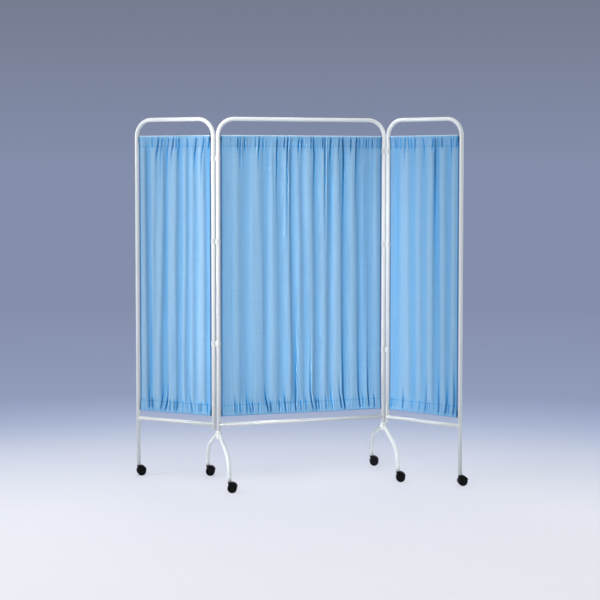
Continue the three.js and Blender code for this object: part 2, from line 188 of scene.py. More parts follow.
# Casters
WHEEL_WIDTH = 0.0135
WHEEL_INNER = 0.005
WHEEL_TYRE = 0.005
WHEEL_BORE_DEPTH = 0.0105
WHEEL_STEPS = 56
TREAD_ROUND = 0.0028
BACK_ROUND = 0.0012
RING_GROOVE = 0.0009
DISC_DISH = 0.0024
WHEEL_HUB_RADIUS = 0.0075
HOOD_GAP = 0.0012
HOOD_WALL = 0.0022
HOOD_WEB = 0.009
HOOD_TAIL = math.radians(16)
HOOD_BROW = math.radians(128)
HOOD_NOSE = 0.006
HOOD_FLOOR = 0.003
HOOD_AXLE_BOSS = 0.008
HOOD_EDGE = 0.0006
HOOD_STEPS = 32
PIN_RADIUS = 0.003
PIN_STEPS = 24
AXLE_RADIUS = 0.003
AXLE_EDGE = 0.0005
BOSS_RADIUS = 0.008
BOSS_HEIGHT = 0.0053
BOSS_GAP = 0.0005
BOSS_EDGE = 0.0012
STEM_FLANGE = 0.0015
STEM_EDGE = 0.0003
INSERT_EDGE = 0.0015

# Faces of each curtain's broad folds: the share of the width from the near post at the top,
# at the middle and near the bottom, and how far the cloth turns there, to the left where above nought
CENTRE_FOLD_SHARES = [
    (0.075, 0.072, 0.065, 0.6), (0.108, 0.113, 0.125, -0.8), (0.19, 0.173, 0.177, 0.7),
    (0.247, 0.257, 0.263, -1), (0.3, 0.297, 0.29, 0.8), (0.335, 0.343, 0.35, -1), (0.39, 0.39, 0.398, 1),
    (0.42, 0.425, 0.44, -2.3), (0.448, 0.453, 0.463, 1.2), (0.487, 0.5, 0.505, -0.4),
    (0.515, 0.522, 0.53, 1.2), (0.565, 0.573, 0.575, -1.4), (0.603, 0.608, 0.618, 1.2),
    (0.667, 0.662, 0.66, -1), (0.693, 0.693, 0.688, 1.2), (0.748, 0.75, 0.758, -2), (0.78, 0.787, 0.785, 1.1),
    (0.848, 0.853, 0.858, -1.5), (0.873, 0.875, 0.88, 1), (0.892, 0.9, 0.917, -0.2),
    (0.953, 0.96, 0.96, 0.9), (0.985, 0.988, 0.99, -0.8),
]
LEFT_FOLD_SHARES = [
    (0.033, 0.033, 0.035, 1.6), (0.065, 0.068, 0.062, -1.7), (0.18, 0.165, 0.185, 1.2),
    (0.22, 0.238, 0.24, -0.5), (0.295, 0.295, 0.292, 1.6), (0.325, 0.332, 0.36, -1),
    (0.39, 0.385, 0.405, 1.6), (0.455, 0.48, 0.48, -1.7), (0.545, 0.55, 0.54, 0.7), (0.575, 0.58, 0.57, 0.4),
    (0.605, 0.605, 0.605, 2.4), (0.632, 0.648, 0.7, -1.6), (0.72, 0.75, 0.76, 1), (0.767, 0.79, 0.79, -0.2),
    (0.848, 0.84, 0.82, 2.1), (0.912, 0.905, 0.895, -1.5), (0.982, 0.984, 0.98, 2.4),
]
RIGHT_FOLD_SHARES = [
    (0.03, 0.025, 0.03, -1.4), (0.142, 0.15, 0.135, 1), (0.175, 0.19, 0.18, 0.3), (0.215, 0.215, 0.225, 0.4),
    (0.288, 0.29, 0.305, -1.3), (0.378, 0.38, 0.398, 1), (0.462, 0.45, 0.463, -0.8),
    (0.547, 0.557, 0.573, 1.2), (0.655, 0.642, 0.632, -2.7), (0.7, 0.718, 0.745, 1.5),
    (0.812, 0.825, 0.825, -0.9), (0.915, 0.912, 0.905, 1.9), (0.958, 0.96, 0.955, -1.8),
]
FOLD_LEVEL_SHARES = (0.82, 0.6, 0.22)

# Sharp creases of the casings: the share of the width where each crosses the seam,
# then its lean, depth and run into the field, in millimetres
CENTRE_TOP_CREASES = [
    (0.105, 0.5, 3.2, 20), (0.118, 0.5, 3.4, 60), (0.147, -0.5, 3.4, 18), (0.211, 1, 1.6, 8),
    (0.232, 2, 3.6, 60), (0.26, 0, 1.8, 20), (0.343, 1, 3.2, 150), (0.388, 2, 2.6, 12),
    (0.409, 3, 4.2, 260), (0.478, 0.5, 3.2, 28), (0.497, 1, 2.4, 12), (0.556, -2, 3.4, 16),
    (0.572, -4, 3.6, 150), (0.628, 0, 2.4, 10), (0.642, -0.5, 4.2, 240), (0.676, 1, 3.4, 60),
    (0.73, 2, 2.6, 40), (0.756, -4, 4.4, 240), (0.804, 1, 3.2, 30), (0.839, 1, 3.8, 160),
    (0.86, 0, 1.8, 20), (0.889, 0.5, 1.4, 10), (0.904, -0.5, 1.6, 8), (0.922, 0, 1.4, 12),
    (0.943, 1, 1.6, 8), (0.974, 0, 2.2, 14), (0.986, 0, 2.0, 10),
]
CENTRE_BOTTOM_CREASES = [
    (0.083, 1.5, 3.2, 24), (0.097, 0, 1.6, 8), (0.115, 1, 2.4, 10), (0.156, -1, 2.4, 40),
    (0.174, 3, 3.2, 16), (0.192, 4, 3.0, 12), (0.227, 0, 1.6, 8), (0.28, 9, 4.2, 50),
    (0.301, 2, 3.2, 10), (0.356, 4, 2.6, 16), (0.393, 5, 4.2, 30), (0.428, 0, 1.6, 10),
    (0.46, 0.5, 4.4, 200), (0.492, 0, 2.4, 12), (0.524, 4, 2.6, 14), (0.56, 9, 4.2, 160),
    (0.588, 2, 3.2, 16), (0.604, 5, 3.2, 12), (0.65, 2.5, 2.4, 20), (0.688, 4, 2.8, 60),
    (0.744, 9, 4.2, 70), (0.764, 6, 4.2, 220), (0.862, 5, 3.6, 180), (0.886, 0, 1.8, 16),
    (0.922, 4, 4.2, 150), (0.958, 1, 3.2, 14),
]
LEFT_TOP_CREASES = [
    (0.028, -8, 3.6, 12), (0.1, -9, 3.4, 150), (0.206, -8, 4.4, 70), (0.32, -3, 1.8, 10),
    (0.442, -5, 2.8, 50), (0.473, -4, 2.4, 12), (0.523, -9, 4.2, 60), (0.594, -9, 3.4, 60),
    (0.678, -8, 2.8, 150), (0.735, -10, 3.8, 50), (0.812, -2, 2.0, 8),
]
LEFT_BOTTOM_CREASES = [
    (0.055, -5, 2.8, 10), (0.13, 6, 2.6, 10), (0.17, -4, 3.0, 6), (0.28, -11, 3.0, 30),
    (0.39, 0, 1.8, 12), (0.476, 2, 3.6, 14), (0.51, 2, 2.6, 10), (0.57, 2, 1.8, 10),
    (0.623, 8, 4.2, 100), (0.693, 7, 3.6, 50), (0.834, -8, 3.6, 16), (0.874, -2, 3.6, 36),
]
RIGHT_TOP_CREASES = [
    (0.078, 1, 2.8, 10), (0.11, 0, 1.6, 8), (0.158, 2, 2.6, 14), (0.222, 5, 3.4, 50),
    (0.273, 0, 2.2, 20), (0.315, 2, 2.2, 12), (0.365, 4, 3.8, 20), (0.495, -1, 2.2, 40),
    (0.625, 6, 3.2, 16), (0.661, 2, 4.6, 300), (0.71, 0, 1.8, 10), (0.764, 1, 3.2, 6),
    (0.89, 1, 2.6, 60), (0.93, 0, 1.8, 14), (0.972, 2, 2.6, 12),
]
RIGHT_BOTTOM_CREASES = [
    (0.035, -2, 2.4, 10), (0.203, -3, 4.0, 40), (0.337, 0, 1.8, 10), (0.458, -4, 1.8, 14),
    (0.538, -4, 4.2, 90), (0.568, -3, 2.6, 10), (0.6, 0, 1.8, 8), (0.722, 2, 4.4, 80),
    (0.835, -4, 4.2, 60), (0.87, 0, 2.6, 10), (0.948, -3, 4.4, 160), (0.986, 0, 2.6, 60),
]

# Photograph: 600 by 600 pixels, seen by a nearly level camera
PHOTO_SIDE_PX = 600
FOCAL_PX = 1498
AXIS_PX = 247.1
SENSOR_MM = 36
CAMERA_PLACE = Vector((-2.0442, -6.6693, 1.4622))
CAMERA_HEADING = math.radians(-17.05)
CAMERA_PITCH = math.radians(3)

# Studio floor: a painted pool of light, its colours by distance from its middle, and the backdrop beyond it
POOL_CENTRE = (-1.129, -3.218, 0)
POOL_REACH = 12
PAINTED_LIGHT_POOL_COLOURS = [
    (0, (0.93, 0.91, 0.945)), (3, (0.89, 0.875, 0.93)), (4.26, (0.62, 0.66, 0.79)),
    (5.12, (0.38, 0.45, 0.64)), (6.2, (0.27, 0.32, 0.48)), (11.9, (0.235, 0.272, 0.405)),
]
FLOOR_RADIUS = 80
FLOOR_SIDES = 96
FLOOR_GLOW = 0.55
GLOW_REACH = (3.6, 5.3)
BOUNCE_SHARE = 0.9
SKY_COLOUR = (0.172, 0.198, 0.272)
SKY_RISE = 0.12
AIR_COLOUR = (0.88, 0.965, 1.0)
AIR_STRENGTH = 0.66

# Studio lamps: angles in degrees, the azimuth from the camera's side to the left
LAMP_TARGET = (0, 0, 0.85)
LAMPS = [
    dict(name="left_box", azimuth=76, elevation=16, distance=4.5, size=(1.4, 2.2), power=72),
    dict(name="right_box", azimuth=-104, elevation=14, distance=4.5, size=(1.2, 2.2), power=30),
    dict(name="centre_box", azimuth=40, elevation=22, distance=4.5, size=(0.62, 1.5), power=3.2,
         spread=14, target=(0.02, 0.03, 0.95)),
    dict(name="top_box", azimuth=10, elevation=80, distance=4.0, size=(2.2, 2.2), power=20),
    dict(name="back_box", azimuth=165, elevation=35, distance=5.0, size=(2.4, 2.4), power=36),
]


# Places read from the frame

def middle(node):
    """The middle of a node of the frame."""
    low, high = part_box(node)
    return (Vector(low) + Vector(high)) / 2


def under(node):
    """The point of the floor below the middle of a node."""
    place = middle(node)
    return Vector((place.x, place.y, 0))


def height_range(node):
    """The lowest and highest point of a node of the frame."""
    low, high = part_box(node)
    return low[2], high[2]


def stand(near, far):
    """The place of a part that stands at near and faces far, both points of the floor."""
    along = (far - near).normalized()
    turn = Matrix((along, UP.cross(along), UP)).transposed()
    return Matrix.Translation(near) @ turn.to_4x4()


LEFT_POST, RIGHT_POST = under("left_foot_hub"), under("right_foot_hub")
LEFT_INNER, RIGHT_INNER = under("left_post_cap"), under("right_post_cap")
LEFT_OUTER, RIGHT_OUTER = under("left_wing_caster_stem"), under("right_wing_caster_stem")
POST_PITCH = (LEFT_INNER - LEFT_POST).length
TOP_HEIGHT = height_range("centre_frame")[1] - TUBE_RADIUS
CROSSBAR_HEIGHT = middle("centre_crossbar").z
CURTAIN_BOTTOM, CURTAIN_TOP = height_range("centre_curtain")
HUB_BOTTOM, HUB_TOP = height_range("left_foot_hub")
HUB_RADIUS = (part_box("left_foot_hub")[1][0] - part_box("left_foot_hub")[0][0]) / 2
CENTRE_POST_END = HUB_BOTTOM + HUB_FLOOR + SEAT_GAP
CAP_BOTTOM, CAP_TOP = height_range("left_post_cap")
INNER_POST_END = CAP_BOTTOM + CAP_FLANGE + SEAT_GAP
PIN_BOTTOM, STEM_TOP = height_range("left_front_caster_stem")
LEG_END = height_range("left_front_leg")[0]
STEM_SHOULDER = LEG_END - SEAT_GAP
AXLE_HEIGHT = middle("left_front_caster_axle").z
WHEEL_RADIUS = AXLE_HEIGHT
CASTER_TRAIL = (under("left_front_caster_axle") - under("left_front_caster_stem")).length
FOOT_REACH = (under("left_front_caster_stem") - LEFT_POST).length

PANELS = {
    "centre": dict(near=LEFT_POST, far=RIGHT_POST, body="centre", near_end=CENTRE_POST_END,
                   far_end=CENTRE_POST_END, face=-1, rise=1, folds=CENTRE_FOLD_SHARES,
                   top=CENTRE_TOP_CREASES, bottom=CENTRE_BOTTOM_CREASES, seed=11),
    "left": dict(near=LEFT_INNER, far=LEFT_OUTER, body="left_wing", near_end=INNER_POST_END,
                 far_end=LEG_END, face=1, rise=-1.6, folds=LEFT_FOLD_SHARES,
                 top=LEFT_TOP_CREASES, bottom=LEFT_BOTTOM_CREASES, seed=23),
    "right": dict(near=RIGHT_INNER, far=RIGHT_OUTER, body="right_wing", near_end=INNER_POST_END,
                  far_end=LEG_END, face=-1, rise=1.3, folds=RIGHT_FOLD_SHARES,
                  top=RIGHT_TOP_CREASES, bottom=RIGHT_BOTTOM_CREASES, seed=37),
}
for panel in PANELS.values():
    panel["span"] = (panel["far"] - panel["near"]).length
    panel["place"] = stand(panel["near"], panel["far"])
CASTERS = {
    "left_front": "centre", "left_rear": "centre", "right_front": "centre", "right_rear": "centre",
    "left_wing": "left_wing", "right_wing": "right_wing",
}


# Materials

class Finish:
    """The nodes of a material or of the world, with short ways to add to them."""

    def __init__(self, owner):
        owner.use_nodes = True
        self.owner = owner
        self.nodes = owner.node_tree.nodes

    def fill(self, socket, value):
        """Gives a socket a number, a colour or what comes out of a node."""
        if isinstance(value, bpy.types.NodeSocket):
            self.owner.node_tree.links.new(value, socket)
        elif socket.type == "RGBA":
            socket.default_value = (*value, 1)
        else:
            socket.default_value = value

    def node(self, kind, inputs):
        """A new node with its inputs filled."""
        node = self.nodes.new(kind)
        for key, value in inputs.items():
            self.fill(node.inputs[key], value)
        return node

    def surface(self, inputs):
        """Fills inputs of the surface shader."""
        for key, value in inputs.items():
            self.fill(self.nodes["Principled BSDF"].inputs[key], value)

    def noise(self, scale, detail, stretch=(1, 1, 1), source="Object"):
        """A noise on the piece's own coordinates, stretched along its axes."""
        place = self.nodes.new("ShaderNodeTexCoord")
        mapping = self.node("ShaderNodeMapping", {"Vector": place.outputs[source], "Scale": stretch})
        texture = self.node("ShaderNodeTexNoise", {
            "Vector": mapping.outputs["Vector"], "Scale": scale, "Detail": detail})
        return texture.outputs["Fac"]

    def threads(self, direction):
        """Even threads across one direction of the cloth's own map, as a height."""
        place = self.nodes.new("ShaderNodeTexCoord")
        texture = self.node("ShaderNodeTexWave", {
            "Vector": place.outputs["UV"], "Scale": WAVE_UNIT / THREAD_PERIOD, "Distortion": 0.6, "Detail": 1,
            "Detail Scale": 0.6})
        texture.wave_type = "BANDS"
        texture.bands_direction = direction
        return texture.outputs["Fac"]

    def ranged(self, value, low, high, from_low=0.0, from_high=1.0):
        """A value brought from one range to another."""
        node = self.node("ShaderNodeMapRange", {
            "Value": value, "To Min": low, "To Max": high, "From Min": from_low, "From Max": from_high})
        return node.outputs["Result"]

    def worked_out(self, operation, first, second):
        """A value worked out from two others."""
        node = self.node("ShaderNodeMath", {0: first, 1: second})
        node.operation = operation
        return node.outputs[0]

    def mixed(self, factor, colour_a, colour_b, blend="MIX"):
        """Two colours mixed."""
        node = self.nodes.new("ShaderNodeMix")
        node.data_type = "RGBA"
        node.blend_type = blend
        for index, value in ((0, factor), (6, colour_a), (7, colour_b)):
            self.fill(node.inputs[index], value)
        return node.outputs[2]

    def bump(self, height, strength, distance):
        """Adds a height to the surface as a bump, over any bump that it already has."""
        node = self.node("ShaderNodeBump", {"Height": height, "Strength": strength, "Distance": distance})
        normal = self.nodes["Principled BSDF"].inputs["Normal"]
        for link in list(normal.links):
            self.fill(node.inputs["Normal"], link.from_socket)
        self.fill(normal, node.outputs["Normal"])

    def show(self, output, factor, first, second):
        """Gives an output two shaders, mixed by a factor."""
        both = self.node("ShaderNodeMixShader", {"Fac": factor, 1: first, 2: second})
        self.fill(self.nodes[output].inputs["Surface"], both.outputs["Shader"])


def new_finish(name, colour, roughness, metallic=0.0):
    """A new material with a plain surface."""
    finish = Finish(bpy.data.materials.new(name))
    finish.surface({"Base Color": colour, "Roughness": roughness, "Metallic": metallic})
    return finish


def painted_steel(name, white, greyed, scuffed):
    """Satin stove enamel: a faint orange peel, slight greying and fine scuffs."""
    finish = new_finish(name, white, 0.32)
    tone = finish.ranged(finish.noise(scale=9, detail=4), 0, 1, 0.35, 0.7)
    scuff = finish.noise(scale=160, detail=6, stretch=(1, 1, 0.12))
    marks = finish.ranged(scuff, 0, 0.5, 0.69, 0.76)
    finish.surface({
        "Base Color": finish.mixed(marks, finish.mixed(tone, white, greyed), scuffed),
        "Roughness": finish.ranged(scuff, 0.26, 0.42), "Coat Weight": 0.35, "Coat Roughness": 0.12})
    finish.bump(finish.noise(scale=420, detail=2), strength=0.25, distance=0.0002)
    return finish.owner


def moulded_plastic(name, colour, worn, roughness, grain, gloss=0.5):
    """Moulded plastic with a fine spark-eroded grain and slightly uneven gloss."""
    finish = new_finish(name, colour, roughness)
    cloud = finish.noise(scale=45, detail=4)
    tone = finish.ranged(cloud, 0, 0.8, 0.4, 0.75)
    finish.surface({
        "Base Color": finish.mixed(tone, colour, worn), "Specular IOR Level": gloss,
        "Roughness": finish.ranged(cloud, roughness - 0.07, roughness + 0.1)})
    finish.bump(finish.noise(scale=grain, detail=2), strength=0.3, distance=0.0001)
    return finish.owner


def plated_steel(name, colour, roughness, stretch):
    """Zinc plating: drawn along the piece, with faint clouding."""
    finish = new_finish(name, colour, roughness, 1.0)
    drawn = finish.noise(scale=900, detail=3, stretch=stretch)
    dull = tuple(0.72 * part for part in colour)
    finish.surface({
        "Base Color": finish.mixed(finish.noise(scale=60, detail=3), colour, dull),
        "Roughness": finish.ranged(drawn, roughness - 0.08, roughness + 0.14)})
    finish.bump(drawn, strength=0.12, distance=0.0001)
    return finish.owner


def curtain_cloth(name):
    """Light blue cotton and polyester: plain weave, slubs along both threads, painted shade in deeper and
    dark blue where the hollow attribute marks it, and a painted highlight in pale blue.
    """
    finish = new_finish(name, CLOTH_LIGHT, 0.82)
    hollow = finish.nodes.new("ShaderNodeAttribute")
    hollow.attribute_name = "hollow"
    depth = hollow.outputs["Fac"]
    # Painted shade: deeper blue up to one, dark blue from one to two; painted highlight: pale blue below
    # nought
    colour = finish.mixed(finish.ranged(depth, 0, 1), CLOTH_LIGHT, CLOTH_PAINTED_SHADE)
    colour = finish.mixed(finish.ranged(depth, 0, 1, 1, 2), colour, CLOTH_PAINTED_DARK_SHADE)
    colour = finish.mixed(finish.ranged(depth, 1, 0, -1, 0), colour, CLOTH_PAINTED_HIGHLIGHT)
    warp_slub = finish.noise(scale=260, detail=3, stretch=(1, 0.03, 1), source="UV")
    weft_slub = finish.noise(scale=260, detail=3, stretch=(0.03, 1, 1), source="UV")
    for slub, low in ((warp_slub, 0.93), (weft_slub, 0.955)):
        colour = finish.mixed(1.0, colour, finish.ranged(slub, low, 1.0, 0.35, 0.6), "MULTIPLY")
    weave = finish.worked_out("MULTIPLY", finish.threads("X"), finish.threads("Y"))
    finish.surface({
        "Base Color": finish.mixed(1.0, colour, finish.ranged(weave, 0.955, 1.0), "MULTIPLY"),
        "Sheen Weight": 0.12, "Sheen Roughness": 0.45, "Sheen Tint": CLOTH_SHEEN, "Specular IOR Level": 0.25})
    finish.bump(weave, strength=0.35, distance=0.00025)
    finish.bump(warp_slub, strength=0.12, distance=0.0006)
    return finish.owner


def sewing_thread(name, colour, low, high):
    """Twisted sewing thread, a shade deeper than the cloth."""
    finish = new_finish(name, colour, 0.6)
    twist = finish.noise(scale=2400, detail=2, stretch=(1, 1, 0.4))
    finish.surface({"Base Color": finish.mixed(twist, low, high)})
    finish.bump(twist, strength=0.4, distance=0.0001)
    return finish.owner


ENAMEL = painted_steel("white_enamel", (0.87, 0.87, 0.845), (0.83, 0.83, 0.81), (0.70, 0.70, 0.69))
CLIP_PLASTIC = moulded_plastic("white_clip_plastic", (0.72, 0.72, 0.70), (0.66, 0.66, 0.645), 0.45, 900)
HOOD_PLASTIC = moulded_plastic(
    "black_hood_plastic", (0.003, 0.003, 0.0033), (0.006, 0.006, 0.0066), 0.34, 700, 0.12)
WHEEL_PLASTIC = moulded_plastic(
    "black_wheel_plastic", (0.004, 0.004, 0.0044), (0.010, 0.010, 0.010), 0.46, 500, 0.14)
ROD_STEEL = plated_steel("curtain_rod_steel", (0.66, 0.67, 0.68), 0.30, (0.02, 1, 1))
CASTER_STEEL = plated_steel("caster_steel", (0.58, 0.59, 0.60), 0.34, (1, 1, 0.05))
CLOTH = curtain_cloth("blue_curtain_cloth")
THREAD = sewing_thread("blue_sewing_thread", (0.12, 0.33, 0.62), (0.10, 0.30, 0.60), (0.20, 0.44, 0.72))


# Making and finishing meshes

def those(kind, geometry):
    """The vertices, edges or faces among what an operator made."""
    return [item for item in geometry if isinstance(item, kind)]


def added(name, data):
    """A new object in the scene."""
    thing = bpy.data.objects.new(name, data)
    bpy.context.collection.objects.link(thing)
    return thing


def final_mesh(piece):
    """A new mesh of what a piece is after its modifiers."""
    return bpy.data.meshes.new_from_object(piece.evaluated_get(bpy.context.evaluated_depsgraph_get()))


def finished(name, shape, material, place=Matrix(), sharp=SHARP_ANGLE):
    """Makes an object from a bmesh: welded, facing out, put in its place and shaded smooth between edges."""
    bmesh.ops.remove_doubles(shape, verts=shape.verts, dist=MERGE_DISTANCE)
    bmesh.ops.transform(shape, matrix=place, verts=shape.verts)
    bmesh.ops.recalc_face_normals(shape, faces=shape.faces)
    mesh = bpy.data.meshes.new(name)
    shape.to_mesh(mesh)
    shape.free()
    mesh.shade_smooth()
    mesh.set_sharp_from_angle(angle=sharp)
    mesh.materials.append(material)
    return added(name, mesh)


def stands_for(piece, body, slot, *nodes):
    """Hangs a piece on its body and lets it stand for nodes of the frame; its slot is not used."""
    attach(piece, body)
    if nodes:
        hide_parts(*nodes)
    return piece


def bevelled(piece, width, segments=2):
    """Rounds the sharp edges of a piece."""
    bevel = piece.modifiers.new("rounded_edges", "BEVEL")
    bevel.width = width
    bevel.segments = segments
    bevel.limit_method = "ANGLE"
    bevel.angle_limit = SHARP_ANGLE
    return piece


def thickened(piece, name, thickness, offset):
    """Gives an open skin its thickness, inwards by an offset of -1 and to both sides by nought."""
    solidify = piece.modifiers.new(name, "SOLIDIFY")
    solidify.thickness = thickness
    solidify.offset = offset
    return piece


class Pipe:
    """A tube's skin, drawn from a ring of edges along straight runs and bends."""

    def __init__(self, start, way):
        self.shape = bmesh.new()
        self.at = Vector(start)
        self.way = Vector(way).normalized()
        turn = UP.rotation_difference(self.way).to_matrix().to_4x4()
        ring = bmesh.ops.create_circle(
            self.shape, segments=TUBE_SIDES, radius=TUBE_RADIUS, matrix=Matrix.Translation(start) @ turn)
        self.first = ring["verts"]
        self.ring = list(dict.fromkeys(edge for vert in self.first for edge in vert.link_edges))

    def last(self):
        return list(dict.fromkeys(vert for edge in self.ring for vert in edge.verts))

    def straight(self, length):
        made = bmesh.ops.extrude_edge_only(self.shape, edges=self.ring)["geom"]
        moved = set(those(BMVert, made))
        bmesh.ops.translate(self.shape, verts=list(moved), vec=self.way * length)
        self.ring = [edge for edge in those(BMEdge, made) if all(vert in moved for vert in edge.verts)]
        self.at = self.at + self.way * length

    def bend(self, radius, angle, inwards, steps):
        centre = self.at + inwards * radius
        axis = self.way.cross(inwards)
        made = bmesh.ops.spin(self.shape, geom=self.ring + self.last(), cent=centre, axis=axis,
                              angle=angle, steps=steps)
        self.ring = those(BMEdge, made["geom_last"])
        turn = Matrix.Rotation(angle, 3, axis)
        self.at = centre + turn @ (self.at - centre)
        self.way = turn @ self.way

    def painted(self, name, place, body, node):
        """The tube as a painted piece with its wall."""
        piece = finished(name, self.shape, ENAMEL, place)
        stands_for(thickened(piece, "wall", TUBE_WALL, -1), body, "white_paint", node)


def cope(verts, way, radius):
    """Slides the end of a tube along its way until it meets an upright cylinder on the Z axis."""
    flat = way.xy
    for vert in verts:
        point = vert.co.xy
        ahead = point.dot(flat)
        room = max(radius * radius - point.length_squared, 0)
        reach = math.sqrt(ahead * ahead + flat.length_squared * room) - ahead
        vert.co += way * (reach / flat.length_squared)


def ring_order(verts, way):
    """The places of the verts at a tube's end, in order round it from a start between two of them."""
    centre = sum((vert.co for vert in verts), Vector()) / len(verts)
    side = way.orthogonal()
    other = way.cross(side)

    def turn(point):
        arm = point - centre
        return (math.atan2(arm.dot(other), arm.dot(side)) - RING_START) % math.tau

    return sorted((vert.co.copy() for vert in verts), key=turn)


def weld_beads(name, loops, place, seed, body):
    """Runs of weld round the ends of tubes: a rippled bead along each loop of points."""
    draw = random.Random(seed)
    curve = bpy.data.curves.new(name, "CURVE")
    curve.dimensions = "3D"
    curve.bevel_depth = 1.0
    curve.bevel_resolution = WELD_SIDES // 2 - 2
    for points in loops:
        spline = curve.splines.new("POLY")
        spline.points.add(len(points) - 1)
        spline.use_cyclic_u = True
        for spot, point in zip(spline.points, points):
            spot.co = (*point, 1)
            spot.radius = WELD_RADIUS + draw.uniform(-WELD_RIPPLE, WELD_RIPPLE)
    bead = added(name, curve)
    mesh = final_mesh(bead)
    shape = bmesh.new()
    shape.from_mesh(mesh)
    bpy.data.objects.remove(bead)
    bpy.data.curves.remove(curve)
    bpy.data.meshes.remove(mesh)
    stands_for(finished(name, shape, ENAMEL, place, BEAD_SHARP_ANGLE), body, "white_paint")


def turned(name, profile, material, place=Matrix(), steps=TURN_STEPS):
    """A turned piece on the Z axis, from a profile of radius and height."""
    shape = bmesh.new()
    points = [shape.verts.new((radius, 0, height)) for radius, height in profile]
    lines = [shape.edges.new(pair) for pair in zip(points, points[1:])]
    bmesh.ops.spin(shape, geom=points + lines, axis=UP, angle=math.tau, steps=steps, use_merge=True)
    return finished(name, shape, material, place, TURNED_SHARP_ANGLE)


def eased_rod(radius, low, high, ease):
    """The profile of a round rod with eased ends."""
    return [(0, low), (radius - ease, low), (radius, low + ease),
            (radius, high - ease), (radius - ease, high), (0, high)]


def round_hole(radius, low, high):
    """The profile of a round hole."""
    return [(0, low), (radius, low), (radius, high), (0, high)]


def round_corner(x, z, radius, start):
    """Points of a rounded corner of a profile: a quarter turn about its centre."""
    turns = np.linspace(start, start + QUARTER, CORNER_POINTS)
    return [(x + radius * math.cos(turn), z + radius * math.sin(turn)) for turn in turns]


def combined(piece, operation, *others):
    """Joins solids to a piece, or cuts them from it."""
    for other in others:
        join = piece.modifiers.new("join", "BOOLEAN")
        join.operation = operation
        join.solver = "EXACT"
        join.object = other
    mesh = final_mesh(piece)
    piece.modifiers.clear()
    piece.data = mesh
    for other in others:
        bpy.data.objects.remove(other)
    return piece


def copied(piece, name, place):
    """A copy of a piece that was made at the origin, put in its place."""
    copy = piece.copy()
    copy.name = name
    copy.data = piece.data.copy()
    copy.data.transform(place)
    bpy.context.collection.objects.link(copy)
    return copy


# Frames and rails

def bent_frame(name, panel):
    """One bent tube: up a post, round a corner, along the top, round again and down."""
    tube = Pipe((0, 0, panel["near_end"]), UP)
    tube.straight(TOP_HEIGHT - CORNER_RADIUS - panel["near_end"])
    tube.bend(CORNER_RADIUS, QUARTER, ALONG, CORNER_STEPS)
    tube.straight(panel["span"] - 2 * CORNER_RADIUS)
    tube.bend(CORNER_RADIUS, QUARTER, -UP, CORNER_STEPS)
    tube.straight(TOP_HEIGHT - CORNER_RADIUS - panel["far_end"])
    tube.painted(f"{name}_bent_frame", panel["place"], panel["body"], f"{name}_frame")


def lower_rail(name, panel):
    """The crossbar, coped to both posts, and the weld round each end."""
    tube = Pipe((0, 0, CROSSBAR_HEIGHT), ALONG)
    tube.straight(panel["span"])
    cope(tube.first, ALONG, TUBE_RADIUS)
    for vert in tube.last():
        vert.co.x -= panel["span"]
    cope(tube.last(), -ALONG, TUBE_RADIUS)
    for vert in tube.last():
        vert.co.x += panel["span"]
    loops = [ring_order(verts, ALONG) for verts in (tube.first, tube.last())]
    tube.painted(f"{name}_lower_rail", panel["place"], panel["body"], f"{name}_crossbar")
    weld_beads(f"{name}_rail_welds", loops, panel["place"], panel["seed"], panel["body"])


def curtain_rods(name, panel):
    """Two round rods with eased ends, sprung into the posts."""
    inset = TUBE_RADIUS - TUBE_WALL - ROD_REACH
    profile = eased_rod(ROD_RADIUS, inset, panel["span"] - inset, ROD_RADIUS / 3)
    for row, height in (("top", CURTAIN_TOP - ROD_DROP), ("bottom", CURTAIN_BOTTOM + ROD_DROP)):
        place = panel["place"] @ Matrix.Translation(UP * height) @ Matrix.Rotation(QUARTER, 4, "Y")
        piece = turned(f"{name}_{row}_curtain_rod", profile, ROD_STEEL, place, ROD_STEPS)
        stands_for(piece, panel["body"], "rod_steel", f"{name}_{row}_rod")


# Curtains

def smooth_step(value):
    """Nought to one with level ends, for an array."""
    value = np.clip(value, 0, 1)
    return value * value * (3 - 2 * value)


def from_edge(z):
    """How far a height lies from the nearer edge of the curtains, top or bottom."""
    return np.minimum(CURTAIN_TOP - z, z - CURTAIN_BOTTOM)


def level_of(z):
    """Nought to one from the bottom of the curtains to their top."""
    return (z - CURTAIN_BOTTOM) / (CURTAIN_TOP - CURTAIN_BOTTOM)


def broad_folds(panel, width):
    """How far the broad folds stand out, by level and share of the width: each face's turn, summed along."""
    shares = np.linspace(0, 1, FOLD_SAMPLES)
    step = width / (FOLD_SAMPLES - 1)
    window = np.hanning(round(FOLD_REACH / step) | 1)
    window /= window.sum()
    margin = len(window) // 2
    table = np.array(panel["folds"])
    folds = []
    for level in np.linspace(0, 1, FOLD_LEVELS):
        at = [np.interp(level, FOLD_LEVEL_SHARES[::-1], places[::-1]) for places in table[:, :3]]
        at, turns = np.array([0, *at, 1]), np.array([0, *table[:, 3], 0])
        i = np.clip(np.searchsorted(at, shares, side="right") - 1, 0, len(at) - 2)
        way = (shares - at[i]) / (at[i + 1] - at[i])
        turn = turns[i] + (turns[i + 1] - turns[i]) * (0.5 - 0.5 * np.cos(np.pi * way))
        out = np.cumsum(turn) * step * FOLD_SLOPE * panel["rise"]
        mean = np.convolve(np.pad(out, margin, mode="reflect", reflect_type="odd"), window, "valid")
        folds.append(out - mean)
    return FOLD_SWAY * np.tanh(np.array(folds) / FOLD_SWAY)


def looked_up(field, level, share):
    """A field of values by level and share of the width, read between its samples."""
    i = np.clip(level, 0, 1) * (field.shape[0] - 1)
    j = np.clip(share, 0, 1) * (field.shape[1] - 1)
    i0 = np.minimum(i.astype(int), field.shape[0] - 2)
    j0 = np.minimum(j.astype(int), field.shape[1] - 2)
    near, far = (field[row, j0] * (1 - (j - j0)) + field[row, j0 + 1] * (j - j0) for row in (i0, i0 + 1))
    return near * (1 - (i - i0)) + far * (i - i0)


